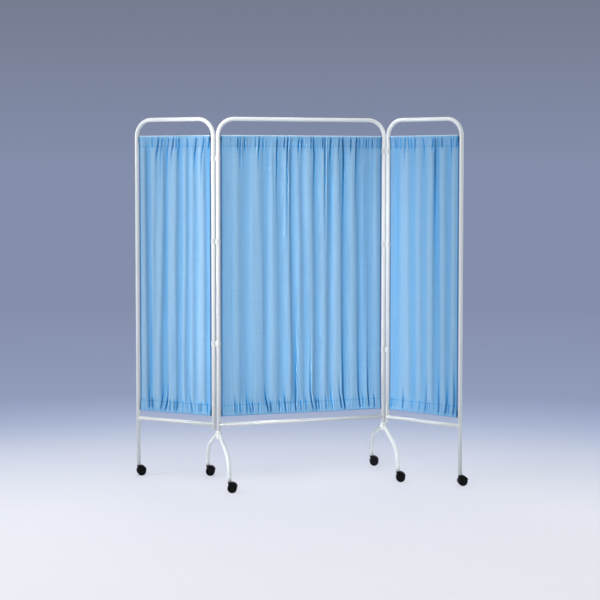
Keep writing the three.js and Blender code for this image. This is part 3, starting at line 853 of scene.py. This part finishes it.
def seam_line(edge):
    """One on the stitched seams of the casings, nought away from them."""
    return np.exp(-(((edge - CASING_DEPTH) / SEAM_WIDTH) ** 2))


def valley(offset, width, side):
    """A sharp crease with a soft ridge on one side: -1 at its bottom."""
    hollow = np.exp(-((offset / width) ** 2))
    ridge = np.exp(-(((offset - side * RIDGE_OFFSET * width) / (RIDGE_WIDTH * width)) ** 2))
    return RIDGE_HEIGHT * ridge - hollow


def pocket(drop):
    """How far each layer of a casing stands from its middle, by the distance from the curtain's edge."""
    shut = float(smooth_step((drop - ROD_DROP) / POCKET_REACH))
    return CASING_STAND + (LAYER_GAP - CASING_STAND) * shut


def casing_rows(edge, way):
    """Rows of a casing: from the seam behind it, round its rod and on to the seam in front."""
    drops = np.linspace(CASING_DEPTH - SEAM_STEP, ROD_DROP, CASING_ROWS, endpoint=False)
    drops = np.concatenate(([CASING_DEPTH], drops))
    rows = [(edge + way * drop, -1.0, -pocket(drop)) for drop in drops]
    for angle in np.linspace(0, math.pi, LOOP_ROWS):
        height = edge + way * ROD_DROP * (1 - math.sin(angle))
        rows.append((height, -math.cos(angle), -CASING_STAND * math.cos(angle)))
    return rows + [(edge + way * drop, 1.0, pocket(drop)) for drop in drops[::-1]]


def cloth_rows():
    """Rows of a cloth from hem to hem: their height, their layer and how far they stand out."""
    top, bottom = CURTAIN_TOP - CASING_DEPTH - SEAM_STEP, CURTAIN_BOTTOM + CASING_DEPTH + SEAM_STEP
    steps = np.linspace(0, 1, FIELD_ROWS)
    levels = steps - ROW_CROWDING * np.sin(math.tau * steps) / math.tau
    field = [(top + (bottom - top) * level, 1.0, 0.0) for level in levels]
    return casing_rows(CURTAIN_TOP, -1) + field + casing_rows(CURTAIN_BOTTOM, 1)[::-1]


def row_of_stitches(starts, ends):
    """A mesh of short round threads, made on its own because operators are slow on a large one."""
    shape = bmesh.new()
    for start, end in zip(starts, ends):
        start, end = Vector(start), Vector(end)
        turn = UP.rotation_difference(end - start).to_matrix().to_4x4()
        bmesh.ops.create_cone(
            shape, cap_ends=True, segments=THREAD_SIDES, radius1=THREAD_RADIUS, radius2=THREAD_RADIUS,
            depth=(end - start).length, matrix=Matrix.Translation((start + end) / 2) @ turn)
    mesh = bpy.data.meshes.new("row_of_stitches")
    shape.to_mesh(mesh)
    shape.free()
    return mesh


class Curtain:
    """A gathered curtain: where each point of its cloth lies, in its panel's own place."""

    def __init__(self, name, panel):
        self.name, self.panel = name, panel
        self.start = TUBE_RADIUS + CURTAIN_GAP
        self.width = panel["span"] - 2 * self.start
        draw = random.Random(panel["seed"])
        self.ends = [self.sharp_creases(draw, table) + self.faint_creases(draw)
                     for table in (panel["top"], panel["bottom"])]
        self.ripples = []
        for _ in range(round(self.width / RIPPLE_PITCH)):
            top = draw.uniform(RIPPLE_MARGIN, self.width - RIPPLE_MARGIN)
            low = top + draw.uniform(*RIPPLE_LEAN)
            depth = draw.uniform(*RIPPLE_DEPTH) * draw.choice((-1, 1))
            self.ripples.append((top, low, depth, draw.uniform(*RIPPLE_WIDTH),
                                 draw.uniform(CURTAIN_BOTTOM, CURTAIN_TOP), draw.uniform(*RIPPLE_REACH)))
        self.folds = broad_folds(panel, self.width)

    def sharp_creases(self, draw, table):
        """The creases of a table in metres, each with its ridge on one side."""
        return [(share * self.width, lean / 1000, CREASE_GAIN * depth / 1000, run / 1000,
                 draw.choice((-1, 1)), CREASE_WIDTH) for share, lean, depth, run in table]

    def faint_creases(self, draw):
        """Small creases all along a casing."""
        creases = []
        at = draw.uniform(*FAINT_START)
        while at < self.width - FAINT_MARGIN:
            depth = draw.uniform(*FAINT_DEPTH)
            creases.append((at, draw.uniform(*FAINT_LEAN), depth, draw.uniform(*FAINT_RUN),
                            draw.choice((-1, 1)), draw.uniform(*FAINT_WIDTH)))
            at += draw.uniform(*FAINT_PITCH)
        return creases

    def creases(self, x, z):
        """How far the creases of the casings and the ripples of the field stand out from the broad folds."""
        out = np.zeros(np.broadcast(x, z).shape)
        for creases, drop in zip(self.ends, (CURTAIN_TOP - z, z - CURTAIN_BOTTOM)):
            past = np.maximum(drop - CASING_DEPTH, 0)
            held = HELD_SHARE + (1 - HELD_SHARE) * smooth_step((drop - ROD_DROP) / HELD_REACH)
            for at, lean, depth, run, side, width in creases:
                sway = lean * np.clip(1 - drop / CASING_DEPTH, -CREASE_LEAN_LIMIT, 1)
                fade = held * np.exp(-((past / run) ** CREASE_FADE)) * (past < CREASE_END * run)
                spread = width * (1 + past / (CREASE_SPREAD * run))
                out = out + depth * fade * valley(x - at - sway, spread, side)
        clear = smooth_step((from_edge(z) - CASING_DEPTH) / RIPPLE_FADE)
        for top, low, depth, width, height, reach in self.ripples:
            offset = x - (low + (top - low) * level_of(z))
            fade = np.exp(-(((z - height) / reach) ** 2)) * clear
            out = out + depth * fade * np.exp(-((offset / width) ** 2))
        return out

    def relief(self, x, z):
        """How far the front of the cloth stands out from the panel's middle, before its casings."""
        edge = from_edge(z)
        neck = smooth_step((edge - CASING_DEPTH) / (NECK_DROP - CASING_DEPTH))
        casing = smooth_step(edge / CASING_DEPTH)
        envelope = STITCH_SWAY_SHARE * casing + (1 - STITCH_SWAY_SHARE) * neck
        out = envelope * looked_up(self.folds, *np.broadcast_arrays(level_of(z), x / self.width))
        hem = smooth_step((SIDE_HEM - np.minimum(x, self.width - x)) / HEM_SLOPE)
        out = out + self.creases(x, z) + HEM_STEP * hem - SEAM_GROOVE * seam_line(edge)
        return CLOTH_REACH * np.tanh(out / CLOTH_REACH)

    def point(self, x, z, layer=1.0, stand_out=0.0):
        """Places of the cloth at distances x along the panel and heights z, on the front or back layer."""
        edge = from_edge(z)
        relief = self.relief(x, z)
        follow = np.where(layer > 0, 1.0, smooth_step((edge - BACK_FOLLOW_START) / BACK_FOLLOW_REACH))
        out = relief * follow + stand_out
        behind = relief + np.abs(stand_out) - 2 * LAYER_GAP
        out = np.where((layer < 0) & (edge > POCKET_CLEAR), np.minimum(out, behind), out)
        pull = EDGE_PULL * smooth_step((edge - CASING_DEPTH) / EDGE_PULL_REACH)
        inwards = pull * (1 - 2 * x / self.width)
        return self.start + x + inwards, out * self.panel["face"], z

    def painted_shade_and_highlight(self, x, z):
        """The painted shade and highlight of the cloth: painted shade in creases, fold valleys, seams, along
        both side edges and the bottom edge, and a painted highlight along the top edge.
        """
        creases = self.creases(x, z)
        folds = self.relief(x, z) - creases
        edge = from_edge(z)
        side = np.minimum(x, self.width - x)
        # Painted shade in the creases and along the seams
        depth = np.clip(-creases / HOLLOW_DEPTH, 0, HOLLOW_LIMIT) + SEAM_SHADE * seam_line(edge)
        # Painted shade in the valleys of the broad folds
        depth = depth + FOLD_SHADE * np.clip(0.5 - FOLD_SHADE_SLOPE * folds / FOLD_SWAY, 0, 1)
        # Painted shade along both side edges, by the posts
        depth = depth + EDGE_SHADE * np.exp(-((side / EDGE_SHADE_WIDTH) ** 2))
        # Painted highlight along the top edge, painted shade along the bottom edge
        rim = np.clip(1 - edge / RIM_DEPTH, 0, 1)
        return depth + rim * np.where(z > TOP_HEIGHT / 2, -TOP_RIM_PAINTED_HIGHLIGHT - depth, RIM_SHADE)

    def cloth(self):
        """The cloth as one sheet, with its own map in metres and its painted shade and highlight marked, and
        its flat height.
        """
        heights, layers, stands = (np.array(values)[:, None] for values in zip(*cloth_rows()))
        last_row, last_column = len(heights) - 1, round(self.width / COLUMN_WIDTH)
        x = np.linspace(0, self.width, last_column + 1)[None, :]
        xs, ys, zs = np.broadcast_arrays(*self.point(x, heights, layers, stands))
        lengths = np.concatenate(([0], np.cumsum(np.hypot(np.diff(zs[:, 0]), np.diff(stands[:, 0])))))
        shape = bmesh.new()
        bmesh.ops.create_grid(shape, x_segments=last_column, y_segments=last_row, size=0.5)
        grid = [(round((vert.co.y + 0.5) * last_row), round((vert.co.x + 0.5) * last_column))
                for vert in shape.verts]
        for vert, at in zip(shape.verts, grid):
            vert.co = (xs[at], ys[at], zs[at])
        piece = finished(f"{self.name}_gathered_cloth", shape, CLOTH, self.panel["place"], math.pi)
        mesh = piece.data
        corners = np.empty(len(mesh.loops), dtype=int)
        mesh.loops.foreach_get("vertex_index", corners)
        flat_width = self.width * FULLNESS
        flat = np.array([(flat_width * column / last_column, lengths[row]) for row, column in grid])
        mesh.uv_layers.new(name="cloth_map").data.foreach_set("uv", flat[corners].ravel())
        # The painted shade and highlight, kept in the hollow attribute for the cloth's material
        painted_shade_and_highlight = self.painted_shade_and_highlight(x, heights)
        marks = mesh.attributes.new("hollow", "FLOAT", "POINT")
        marks.data.foreach_set("value", [float(painted_shade_and_highlight[at]) for at in grid])
        return thickened(piece, "cloth_thickness", CLOTH_THICKNESS, 0), lengths[-1]

    def stitches(self):
        """Rows of stitches: along both seams and down both side hems, in front and behind."""
        top, bottom = CURTAIN_TOP - CASING_DEPTH, CURTAIN_BOTTOM + CASING_DEPTH
        proud = CLOTH_THICKNESS / 2 + THREAD_RADIUS / 2
        across = np.arange(STITCH_PITCH, self.width - STITCH_PITCH, STITCH_PITCH)
        down = np.arange(bottom + STITCH_PITCH, top - STITCH_PITCH, STITCH_PITCH)
        hem = SIDE_HEM - STITCH_INSET
        runs = [(across, np.full_like(across, height), STITCH_LENGTH, 0) for height in (top, bottom)]
        runs += [(np.full_like(down, x), down, 0, STITCH_LENGTH) for x in (hem, self.width - hem)]
        shape = bmesh.new()
        for x, z, step_x, step_z in runs:
            for side in (1, -1):
                out = side * (proud + (LAYER_GAP if step_x else 0))
                starts, ends = (
                    np.stack(np.broadcast_arrays(*self.point(x + along, z + up, stand_out=out)), -1)
                    for along, up in ((0, 0), (step_x, step_z)))
                mesh = row_of_stitches(starts, ends)
                shape.from_mesh(mesh)
                bpy.data.meshes.remove(mesh)
        return finished(f"{self.name}_seam_stitches", shape, THREAD, self.panel["place"], BEAD_SHARP_ANGLE)


def gathered_curtain(name, panel):
    """A curtain on its two rods, and its stitching."""
    curtain = Curtain(name, panel)
    cloth, length = curtain.cloth()
    stands_for(cloth, panel["body"], "blue_cloth", f"{name}_curtain")
    thread = stands_for(curtain.stitches(), panel["body"], "blue_cloth")


# Clips, plugs, cups and legs

def outlined(shape, height):
    """Fills the outlines in a bmesh, holes left open, and raises them by a height."""
    filled = bmesh.ops.triangle_fill(shape, edges=shape.edges[:], use_beauty=True)["geom"]
    raised = bmesh.ops.extrude_face_region(shape, geom=those(BMFace, filled))["geom"]
    bmesh.ops.translate(shape, verts=those(BMVert, raised), vec=height)
    return shape


def joint_clip(height):
    """A double clip at the origin: two rings on a waist, bored for the posts."""
    shape = bmesh.new()
    bore = TUBE_RADIUS + CLIP_GAP
    outer = bore + CLIP_WALL
    opening = math.asin(CLIP_WAIST / outer)
    low = -height / 2
    ends = []
    for x, way in ((0, 1), (POST_PITCH, -1)):
        first = shape.verts.new((x + way * outer * math.cos(opening), way * outer * math.sin(opening), low))
        made = bmesh.ops.spin(shape, geom=[first], cent=(x, 0, 0), axis=UP,
                              angle=math.tau - 2 * opening, steps=CLIP_STEPS)
        ends.append((first, those(BMVert, made["geom_last"])[0]))
    shape.edges.new((ends[0][1], ends[1][0]))
    shape.edges.new((ends[1][1], ends[0][0]))
    for x in (0, POST_PITCH):
        place = Matrix.Translation((x, 0, low))
        bmesh.ops.create_circle(shape, segments=TUBE_SIDES, radius=bore, matrix=place)
    return bevelled(finished("joint_clip", outlined(shape, UP * height), CLIP_PLASTIC), CLIP_EDGE, 3)


def clips_and_plug(side):
    """The three clips between a centre post and a wing, and the plug of the wing's inner post."""
    post, inner = (LEFT_POST, LEFT_INNER) if side == "left" else (RIGHT_POST, RIGHT_INNER)
    low, high = height_range(f"{side}_upper_clip")
    pattern = joint_clip(high - low)
    for row in ("upper", "middle", "lower"):
        place = stand(post, inner) @ Matrix.Translation(UP * middle(f"{side}_{row}_clip").z)
        piece = copied(pattern, f"{side}_{row}_joint_clip", place)
        stands_for(piece, f"{side}_clips", "white_plastic", f"{side}_{row}_clip")
    bpy.data.objects.remove(pattern)
    plug = TUBE_RADIUS - TUBE_WALL - SEAT_GAP
    seat = INNER_POST_END - SEAT_GAP
    profile = [
        (0, CAP_BOTTOM), *round_corner(TUBE_RADIUS - CAP_CROWN, CAP_BOTTOM + CAP_CROWN, CAP_CROWN, -QUARTER),
        (TUBE_RADIUS, seat), (plug, seat), (plug, CAP_TOP - CAP_CROWN), (plug - CAP_CROWN, CAP_TOP),
        (0, CAP_TOP),
    ]
    piece = turned(f"{side}_post_plug", profile, CLIP_PLASTIC, Matrix.Translation(inner), TUBE_SIDES)
    stands_for(piece, f"{side}_wing", "white_plastic", f"{side}_post_cap")


def hub_cup(side, post):
    """The cup that a centre post stands in."""
    bore, floor = TUBE_RADIUS + SEAT_GAP, HUB_BOTTOM + HUB_FLOOR
    profile = [
        (0, HUB_BOTTOM), *round_corner(HUB_RADIUS - HUB_LIP, HUB_BOTTOM + HUB_LIP, HUB_LIP, -QUARTER),
        *round_corner(HUB_RADIUS - HUB_LIP, HUB_TOP - HUB_LIP, HUB_LIP, 0), (bore, HUB_TOP), (bore, floor),
        (0, floor),
    ]
    cup = turned(f"{side}_hub_cup", profile, ENAMEL, Matrix.Translation(post))
    stands_for(cup, "centre", "white_paint", f"{side}_foot_hub")


def splayed_foot(side):
    """A cup under a centre post, its two legs and their welds."""
    post = LEFT_POST if side == "left" else RIGHT_POST
    hub_cup(side, post)
    leg_top, knee = HUB_TOP - LEG_DROP, LEG_END + KNEE_RISE
    slope = Vector((FOOT_REACH, 0, knee - leg_top))
    way = slope.normalized()
    turn = slope.angle(-UP)
    tangent = LEG_BEND_RADIUS * math.tan(turn / 2)
    loops = []
    for row in ("front", "rear"):
        place = stand(post, under(f"{side}_{row}_caster_stem"))
        tube = Pipe((0, 0, leg_top), slope)
        tube.straight(slope.length - tangent)
        tube.bend(LEG_BEND_RADIUS, turn, (-UP - way * way.dot(-UP)).normalized(), LEG_BEND_STEPS)
        tube.straight(knee - tangent - LEG_END)
        cope(tube.first, way, HUB_RADIUS)
        loops.append([place @ point for point in ring_order(tube.first, way)])
        tube.painted(f"{side}_{row}_bent_leg", place, "centre", f"{side}_{row}_leg")
    weld_beads(f"{side}_foot_welds", loops, Matrix(), FOOT_WELD_SEED, "centre")


# Casters

def caster_web(axle, tail, outer, boss_top):
    """The web of a caster's hood: its outline between the wheels, raised to its thickness."""
    shape = bmesh.new()
    side = -ACROSS * HOOD_WEB / 2
    brow = [shape.verts.new(axle + outer * tail + side)]
    arc = bmesh.ops.spin(shape, geom=brow, cent=axle, axis=-ACROSS,
                         angle=HOOD_BROW - HOOD_TAIL, steps=HOOD_STEPS)
    path = [those(BMVert, arc["geom_last"])[0]]
    for height in (boss_top - BOSS_EDGE, PIN_BOTTOM - HOOD_FLOOR):
        path.append(shape.verts.new((-HOOD_NOSE, side.y, height)))
    path.append(shape.verts.new(axle - ALONG * HOOD_AXLE_BOSS + side))
    under_axle = bmesh.ops.spin(
        shape, geom=[path[-1]], cent=axle, axis=-ACROSS, angle=math.pi, steps=HOOD_STEPS // 2)
    for pair in zip(path, path[1:]):
        shape.edges.new(pair)
    shape.edges.new((those(BMVert, under_axle["geom_last"])[0], brow[0]))
    return finished("caster_cover", outlined(shape, ACROSS * HOOD_WEB), HOOD_PLASTIC)


def caster_fender(axle, tail, inner, outer):
    """The fender of a caster's hood: a flat section turned about the axle, over both wheels."""
    shape = bmesh.new()
    half_width = WHEEL_INNER + WHEEL_WIDTH
    corners = [axle + tail * reach + ACROSS * side for reach, side in (
        (inner, -half_width), (outer, -half_width), (outer, half_width), (inner, half_width))]
    section = shape.faces.new([shape.verts.new(corner) for corner in corners])
    bmesh.ops.spin(shape, geom=[section, *section.edges, *section.verts], cent=axle, axis=-ACROSS,
                   angle=HOOD_BROW - HOOD_TAIL, steps=HOOD_STEPS)
    return finished("caster_fender", shape, HOOD_PLASTIC)


def caster_cover():
    """The hood of a caster at the origin: a web between the wheels, a fender over them and a boss."""
    inner = WHEEL_RADIUS + HOOD_GAP
    outer = inner + HOOD_WALL
    boss_top = STEM_SHOULDER - STEM_FLANGE - BOSS_GAP
    boss_bottom = boss_top - BOSS_HEIGHT
    axle = Vector((CASTER_TRAIL, 0, AXLE_HEIGHT))
    tail = Vector((math.cos(HOOD_TAIL), 0, math.sin(HOOD_TAIL)))
    boss = turned("caster_boss", [
        (0, boss_bottom), (BOSS_RADIUS, boss_bottom), (BOSS_RADIUS, boss_top - BOSS_EDGE),
        (BOSS_RADIUS - BOSS_EDGE, boss_top), (0, boss_top)], HOOD_PLASTIC, steps=HOOD_STEPS)
    cover = caster_web(axle, tail, outer, boss_top)
    cover = combined(cover, "UNION", caster_fender(axle, tail, inner, outer), boss)
    pin = turned("pin_hole", round_hole(PIN_RADIUS + SEAT_GAP, PIN_BOTTOM, STEM_TOP), HOOD_PLASTIC,
                 steps=PIN_STEPS)
    half_width = WHEEL_INNER + WHEEL_WIDTH
    hole = turned("axle_hole", round_hole(AXLE_RADIUS + SEAT_GAP, -half_width, half_width), HOOD_PLASTIC,
                  Matrix.Translation(axle) @ SIDEWAYS, PIN_STEPS)
    return bevelled(combined(cover, "DIFFERENCE", pin, hole), HOOD_EDGE)


def caster_wheel():
    """A wheel at the origin, its outer face up: rounded tyre, ring groove, dished disc and domed hub."""
    bore = AXLE_RADIUS + SEAT_GAP
    rim, groove = WHEEL_RADIUS - WHEEL_TYRE, RING_GROOVE
    hub, top = WHEEL_HUB_RADIUS, WHEEL_WIDTH
    profile = [
        (0, WHEEL_BORE_DEPTH), (bore, WHEEL_BORE_DEPTH), (bore, 0),
        *round_corner(WHEEL_RADIUS - BACK_ROUND, BACK_ROUND, BACK_ROUND, -QUARTER),
        *round_corner(WHEEL_RADIUS - TREAD_ROUND, top - TREAD_ROUND, TREAD_ROUND, 0),
        (rim + groove, top), (rim, top - groove), (rim - groove, top - groove / 2),
        (rim - 3 * groove, top - groove / 2), (rim - 5 * groove, top - DISC_DISH), (hub, top - DISC_DISH),
        (hub - groove, top - groove), (hub - 2.5 * groove, top - groove / 3), (hub / 3, top), (0, top),
    ]
    return turned("caster_wheel", profile, WHEEL_PLASTIC, steps=WHEEL_STEPS)


def caster(name, body, cover, wheel):
    """The five pieces of one caster."""
    place = stand(under(f"{name}_caster_stem"), under(f"{name}_caster_axle"))
    insert = TUBE_RADIUS - TUBE_WALL - SEAT_GAP
    flange = STEM_SHOULDER - STEM_FLANGE
    pin = turned(f"{name}_caster_pin", [
        (0, PIN_BOTTOM), (PIN_RADIUS, PIN_BOTTOM), (PIN_RADIUS, flange), (TUBE_RADIUS, flange),
        (TUBE_RADIUS, STEM_SHOULDER), (insert, STEM_SHOULDER), (insert, STEM_TOP - INSERT_EDGE),
        (insert - INSERT_EDGE, STEM_TOP), (0, STEM_TOP)], CASTER_STEEL, place, TUBE_SIDES)
    stands_for(bevelled(pin, STEM_EDGE), body, "caster_steel", f"{name}_caster_stem")
    swivel = f"{name}_swivel"
    stands_for(copied(cover, f"{name}_caster_cover", place), swivel, "hood_black", f"{name}_caster_hood")
    centre = place @ Matrix.Translation((CASTER_TRAIL, 0, AXLE_HEIGHT))
    half = WHEEL_INNER + WHEEL_BORE_DEPTH - SEAT_GAP
    rod = turned(f"{name}_axle_pin", eased_rod(AXLE_RADIUS, -half, half, AXLE_EDGE), CASTER_STEEL,
                 centre @ SIDEWAYS, PIN_STEPS)
    stands_for(rod, swivel, "caster_steel", f"{name}_caster_axle")
    for letter, side in (("a", -1), ("b", 1)):
        outwards = Matrix.Rotation(-side * QUARTER, 4, "X")
        place = centre @ Matrix.Translation(ACROSS * side * WHEEL_INNER) @ outwards
        roller = copied(wheel, f"{name}_roller_{letter}", place)
        stands_for(roller, f"{name}_wheel_{letter}", "wheel_black", f"{name}_caster_wheel_{letter}")


# Studio

def seen_rays(finish):
    """One for the rays of the camera, of gloss and of clear matter, nought for the light of others."""
    path = finish.nodes.new("ShaderNodeLightPath")
    seen = path.outputs["Is Camera Ray"]
    for ray in ("Is Glossy Ray", "Is Transmission Ray"):
        seen = finish.worked_out("MAXIMUM", seen, path.outputs[ray])
    return seen


def floor_paint():
    """A floor with a painted pool of light: pale near its middle, turning to the backdrop's colour far from
    it, and glowing for the rays that see it.
    """
    finish = new_finish("studio_floor", PAINTED_LIGHT_POOL_COLOURS[0][1], 0.9)
    place = finish.nodes.new("ShaderNodeTexCoord")
    from_pool = finish.node("ShaderNodeVectorMath", {0: place.outputs["Object"], 1: POOL_CENTRE})
    from_pool.operation = "SUBTRACT"
    far = finish.node("ShaderNodeVectorMath", {0: from_pool.outputs["Vector"]})
    far.operation = "LENGTH"
    distance = far.outputs["Value"]
    # Painted pool of light: pale near its middle, darker far out
    ramp = finish.node("ShaderNodeValToRGB", {"Fac": finish.ranged(distance, 0, 1, 0, POOL_REACH)})
    ramp.color_ramp.interpolation = "B_SPLINE"
    while len(ramp.color_ramp.elements) < len(PAINTED_LIGHT_POOL_COLOURS):
        ramp.color_ramp.elements.new(0.5)
    for element, (reach, colour) in zip(ramp.color_ramp.elements, PAINTED_LIGHT_POOL_COLOURS):
        element.position = reach / POOL_REACH
        element.color = (*colour, 1)
    colour = ramp.outputs["Color"]
    seen = seen_rays(finish)
    dulled = finish.mixed(1.0, colour, (BOUNCE_SHARE,) * 3, "MULTIPLY")
    finish.surface({"Base Color": finish.mixed(seen, dulled, colour)})
    # Painted light: the floor glows for the rays that see it, the more the farther out
    glow = finish.node("ShaderNodeEmission", {"Color": colour})
    share = finish.worked_out("MULTIPLY", finish.ranged(distance, FLOOR_GLOW, 1, *GLOW_REACH), seen)
    paint = finish.nodes["Principled BSDF"]
    finish.show("Material Output", share, paint.outputs["BSDF"], glow.outputs["Emission"])
    return finish.owner


def studio_floor():
    """A wide round floor."""
    shape = bmesh.new()
    bmesh.ops.create_circle(shape, cap_ends=True, segments=FLOOR_SIDES, radius=FLOOR_RADIUS)
    mesh = bpy.data.meshes.new("studio_floor")
    shape.to_mesh(mesh)
    shape.free()
    mesh.materials.append(floor_paint())
    added("studio_floor", mesh)


def studio_air():
    """Even light from all round, with the backdrop above the floor for the rays that see it."""
    world = bpy.data.worlds.new("studio_air")
    bpy.context.scene.world = world
    finish = Finish(world)
    air = finish.nodes["Background"]
    finish.fill(air.inputs["Color"], AIR_COLOUR)
    finish.fill(air.inputs["Strength"], AIR_STRENGTH)
    way = finish.nodes.new("ShaderNodeTexCoord")
    split = finish.node("ShaderNodeSeparateXYZ", {"Vector": way.outputs["Generated"]})
    rise = finish.ranged(split.outputs["Z"], 0, 1, 0, SKY_RISE)
    backdrop = finish.node("ShaderNodeBackground", {
        "Color": finish.mixed(rise, PAINTED_LIGHT_POOL_COLOURS[-1][1], SKY_COLOUR)})
    finish.show("World Output", seen_rays(finish), air.outputs["Background"], backdrop.outputs["Background"])


def softbox(name, azimuth, elevation, distance, size, power, spread=180, target=LAMP_TARGET):
    """A rectangular lamp that faces a target."""
    lamp = bpy.data.lights.new(name, "AREA")
    lamp.shape = "RECTANGLE"
    lamp.size, lamp.size_y = size
    lamp.energy = power
    lamp.spread = math.radians(spread)
    turn = CAMERA_HEADING - math.radians(azimuth) - QUARTER
    rise = math.radians(elevation)
    way = Vector((math.cos(turn) * math.cos(rise), math.sin(turn) * math.cos(rise), math.sin(rise)))
    holder = added(name, lamp)
    holder.location = Vector(target) + way * distance
    holder.rotation_euler = way.to_track_quat("Z", "Y").to_euler()


def camera():
    """A camera with the photograph's view, pitched down a little and its frame shifted down to the screen."""
    lens = bpy.data.cameras.new("photo_camera")
    lens.sensor_width = SENSOR_MM
    lens.lens = SENSOR_MM * FOCAL_PX / PHOTO_SIDE_PX
    lens.shift_y = (AXIS_PX - PHOTO_SIDE_PX / 2) / PHOTO_SIDE_PX
    holder = added("photo_camera", lens)
    holder.location = CAMERA_PLACE
    holder.rotation_euler = (QUARTER - CAMERA_PITCH, 0, CAMERA_HEADING)
    bpy.context.scene.camera = holder


camera()
studio_floor()
studio_air()
for lamp in LAMPS:
    softbox(**lamp)
bpy.context.scene.view_settings.view_transform = "Standard"

for name, panel in PANELS.items():
    bent_frame(name, panel)
    lower_rail(name, panel)
    curtain_rods(name, panel)
    gathered_curtain(name, panel)
for side in ("left", "right"):
    clips_and_plug(side)
    splayed_foot(side)
cover_pattern, wheel_pattern = caster_cover(), caster_wheel()
for name, body in CASTERS.items():
    caster(name, body, cover_pattern, wheel_pattern)
for pattern in (cover_pattern, wheel_pattern):
    bpy.data.objects.remove(pattern)
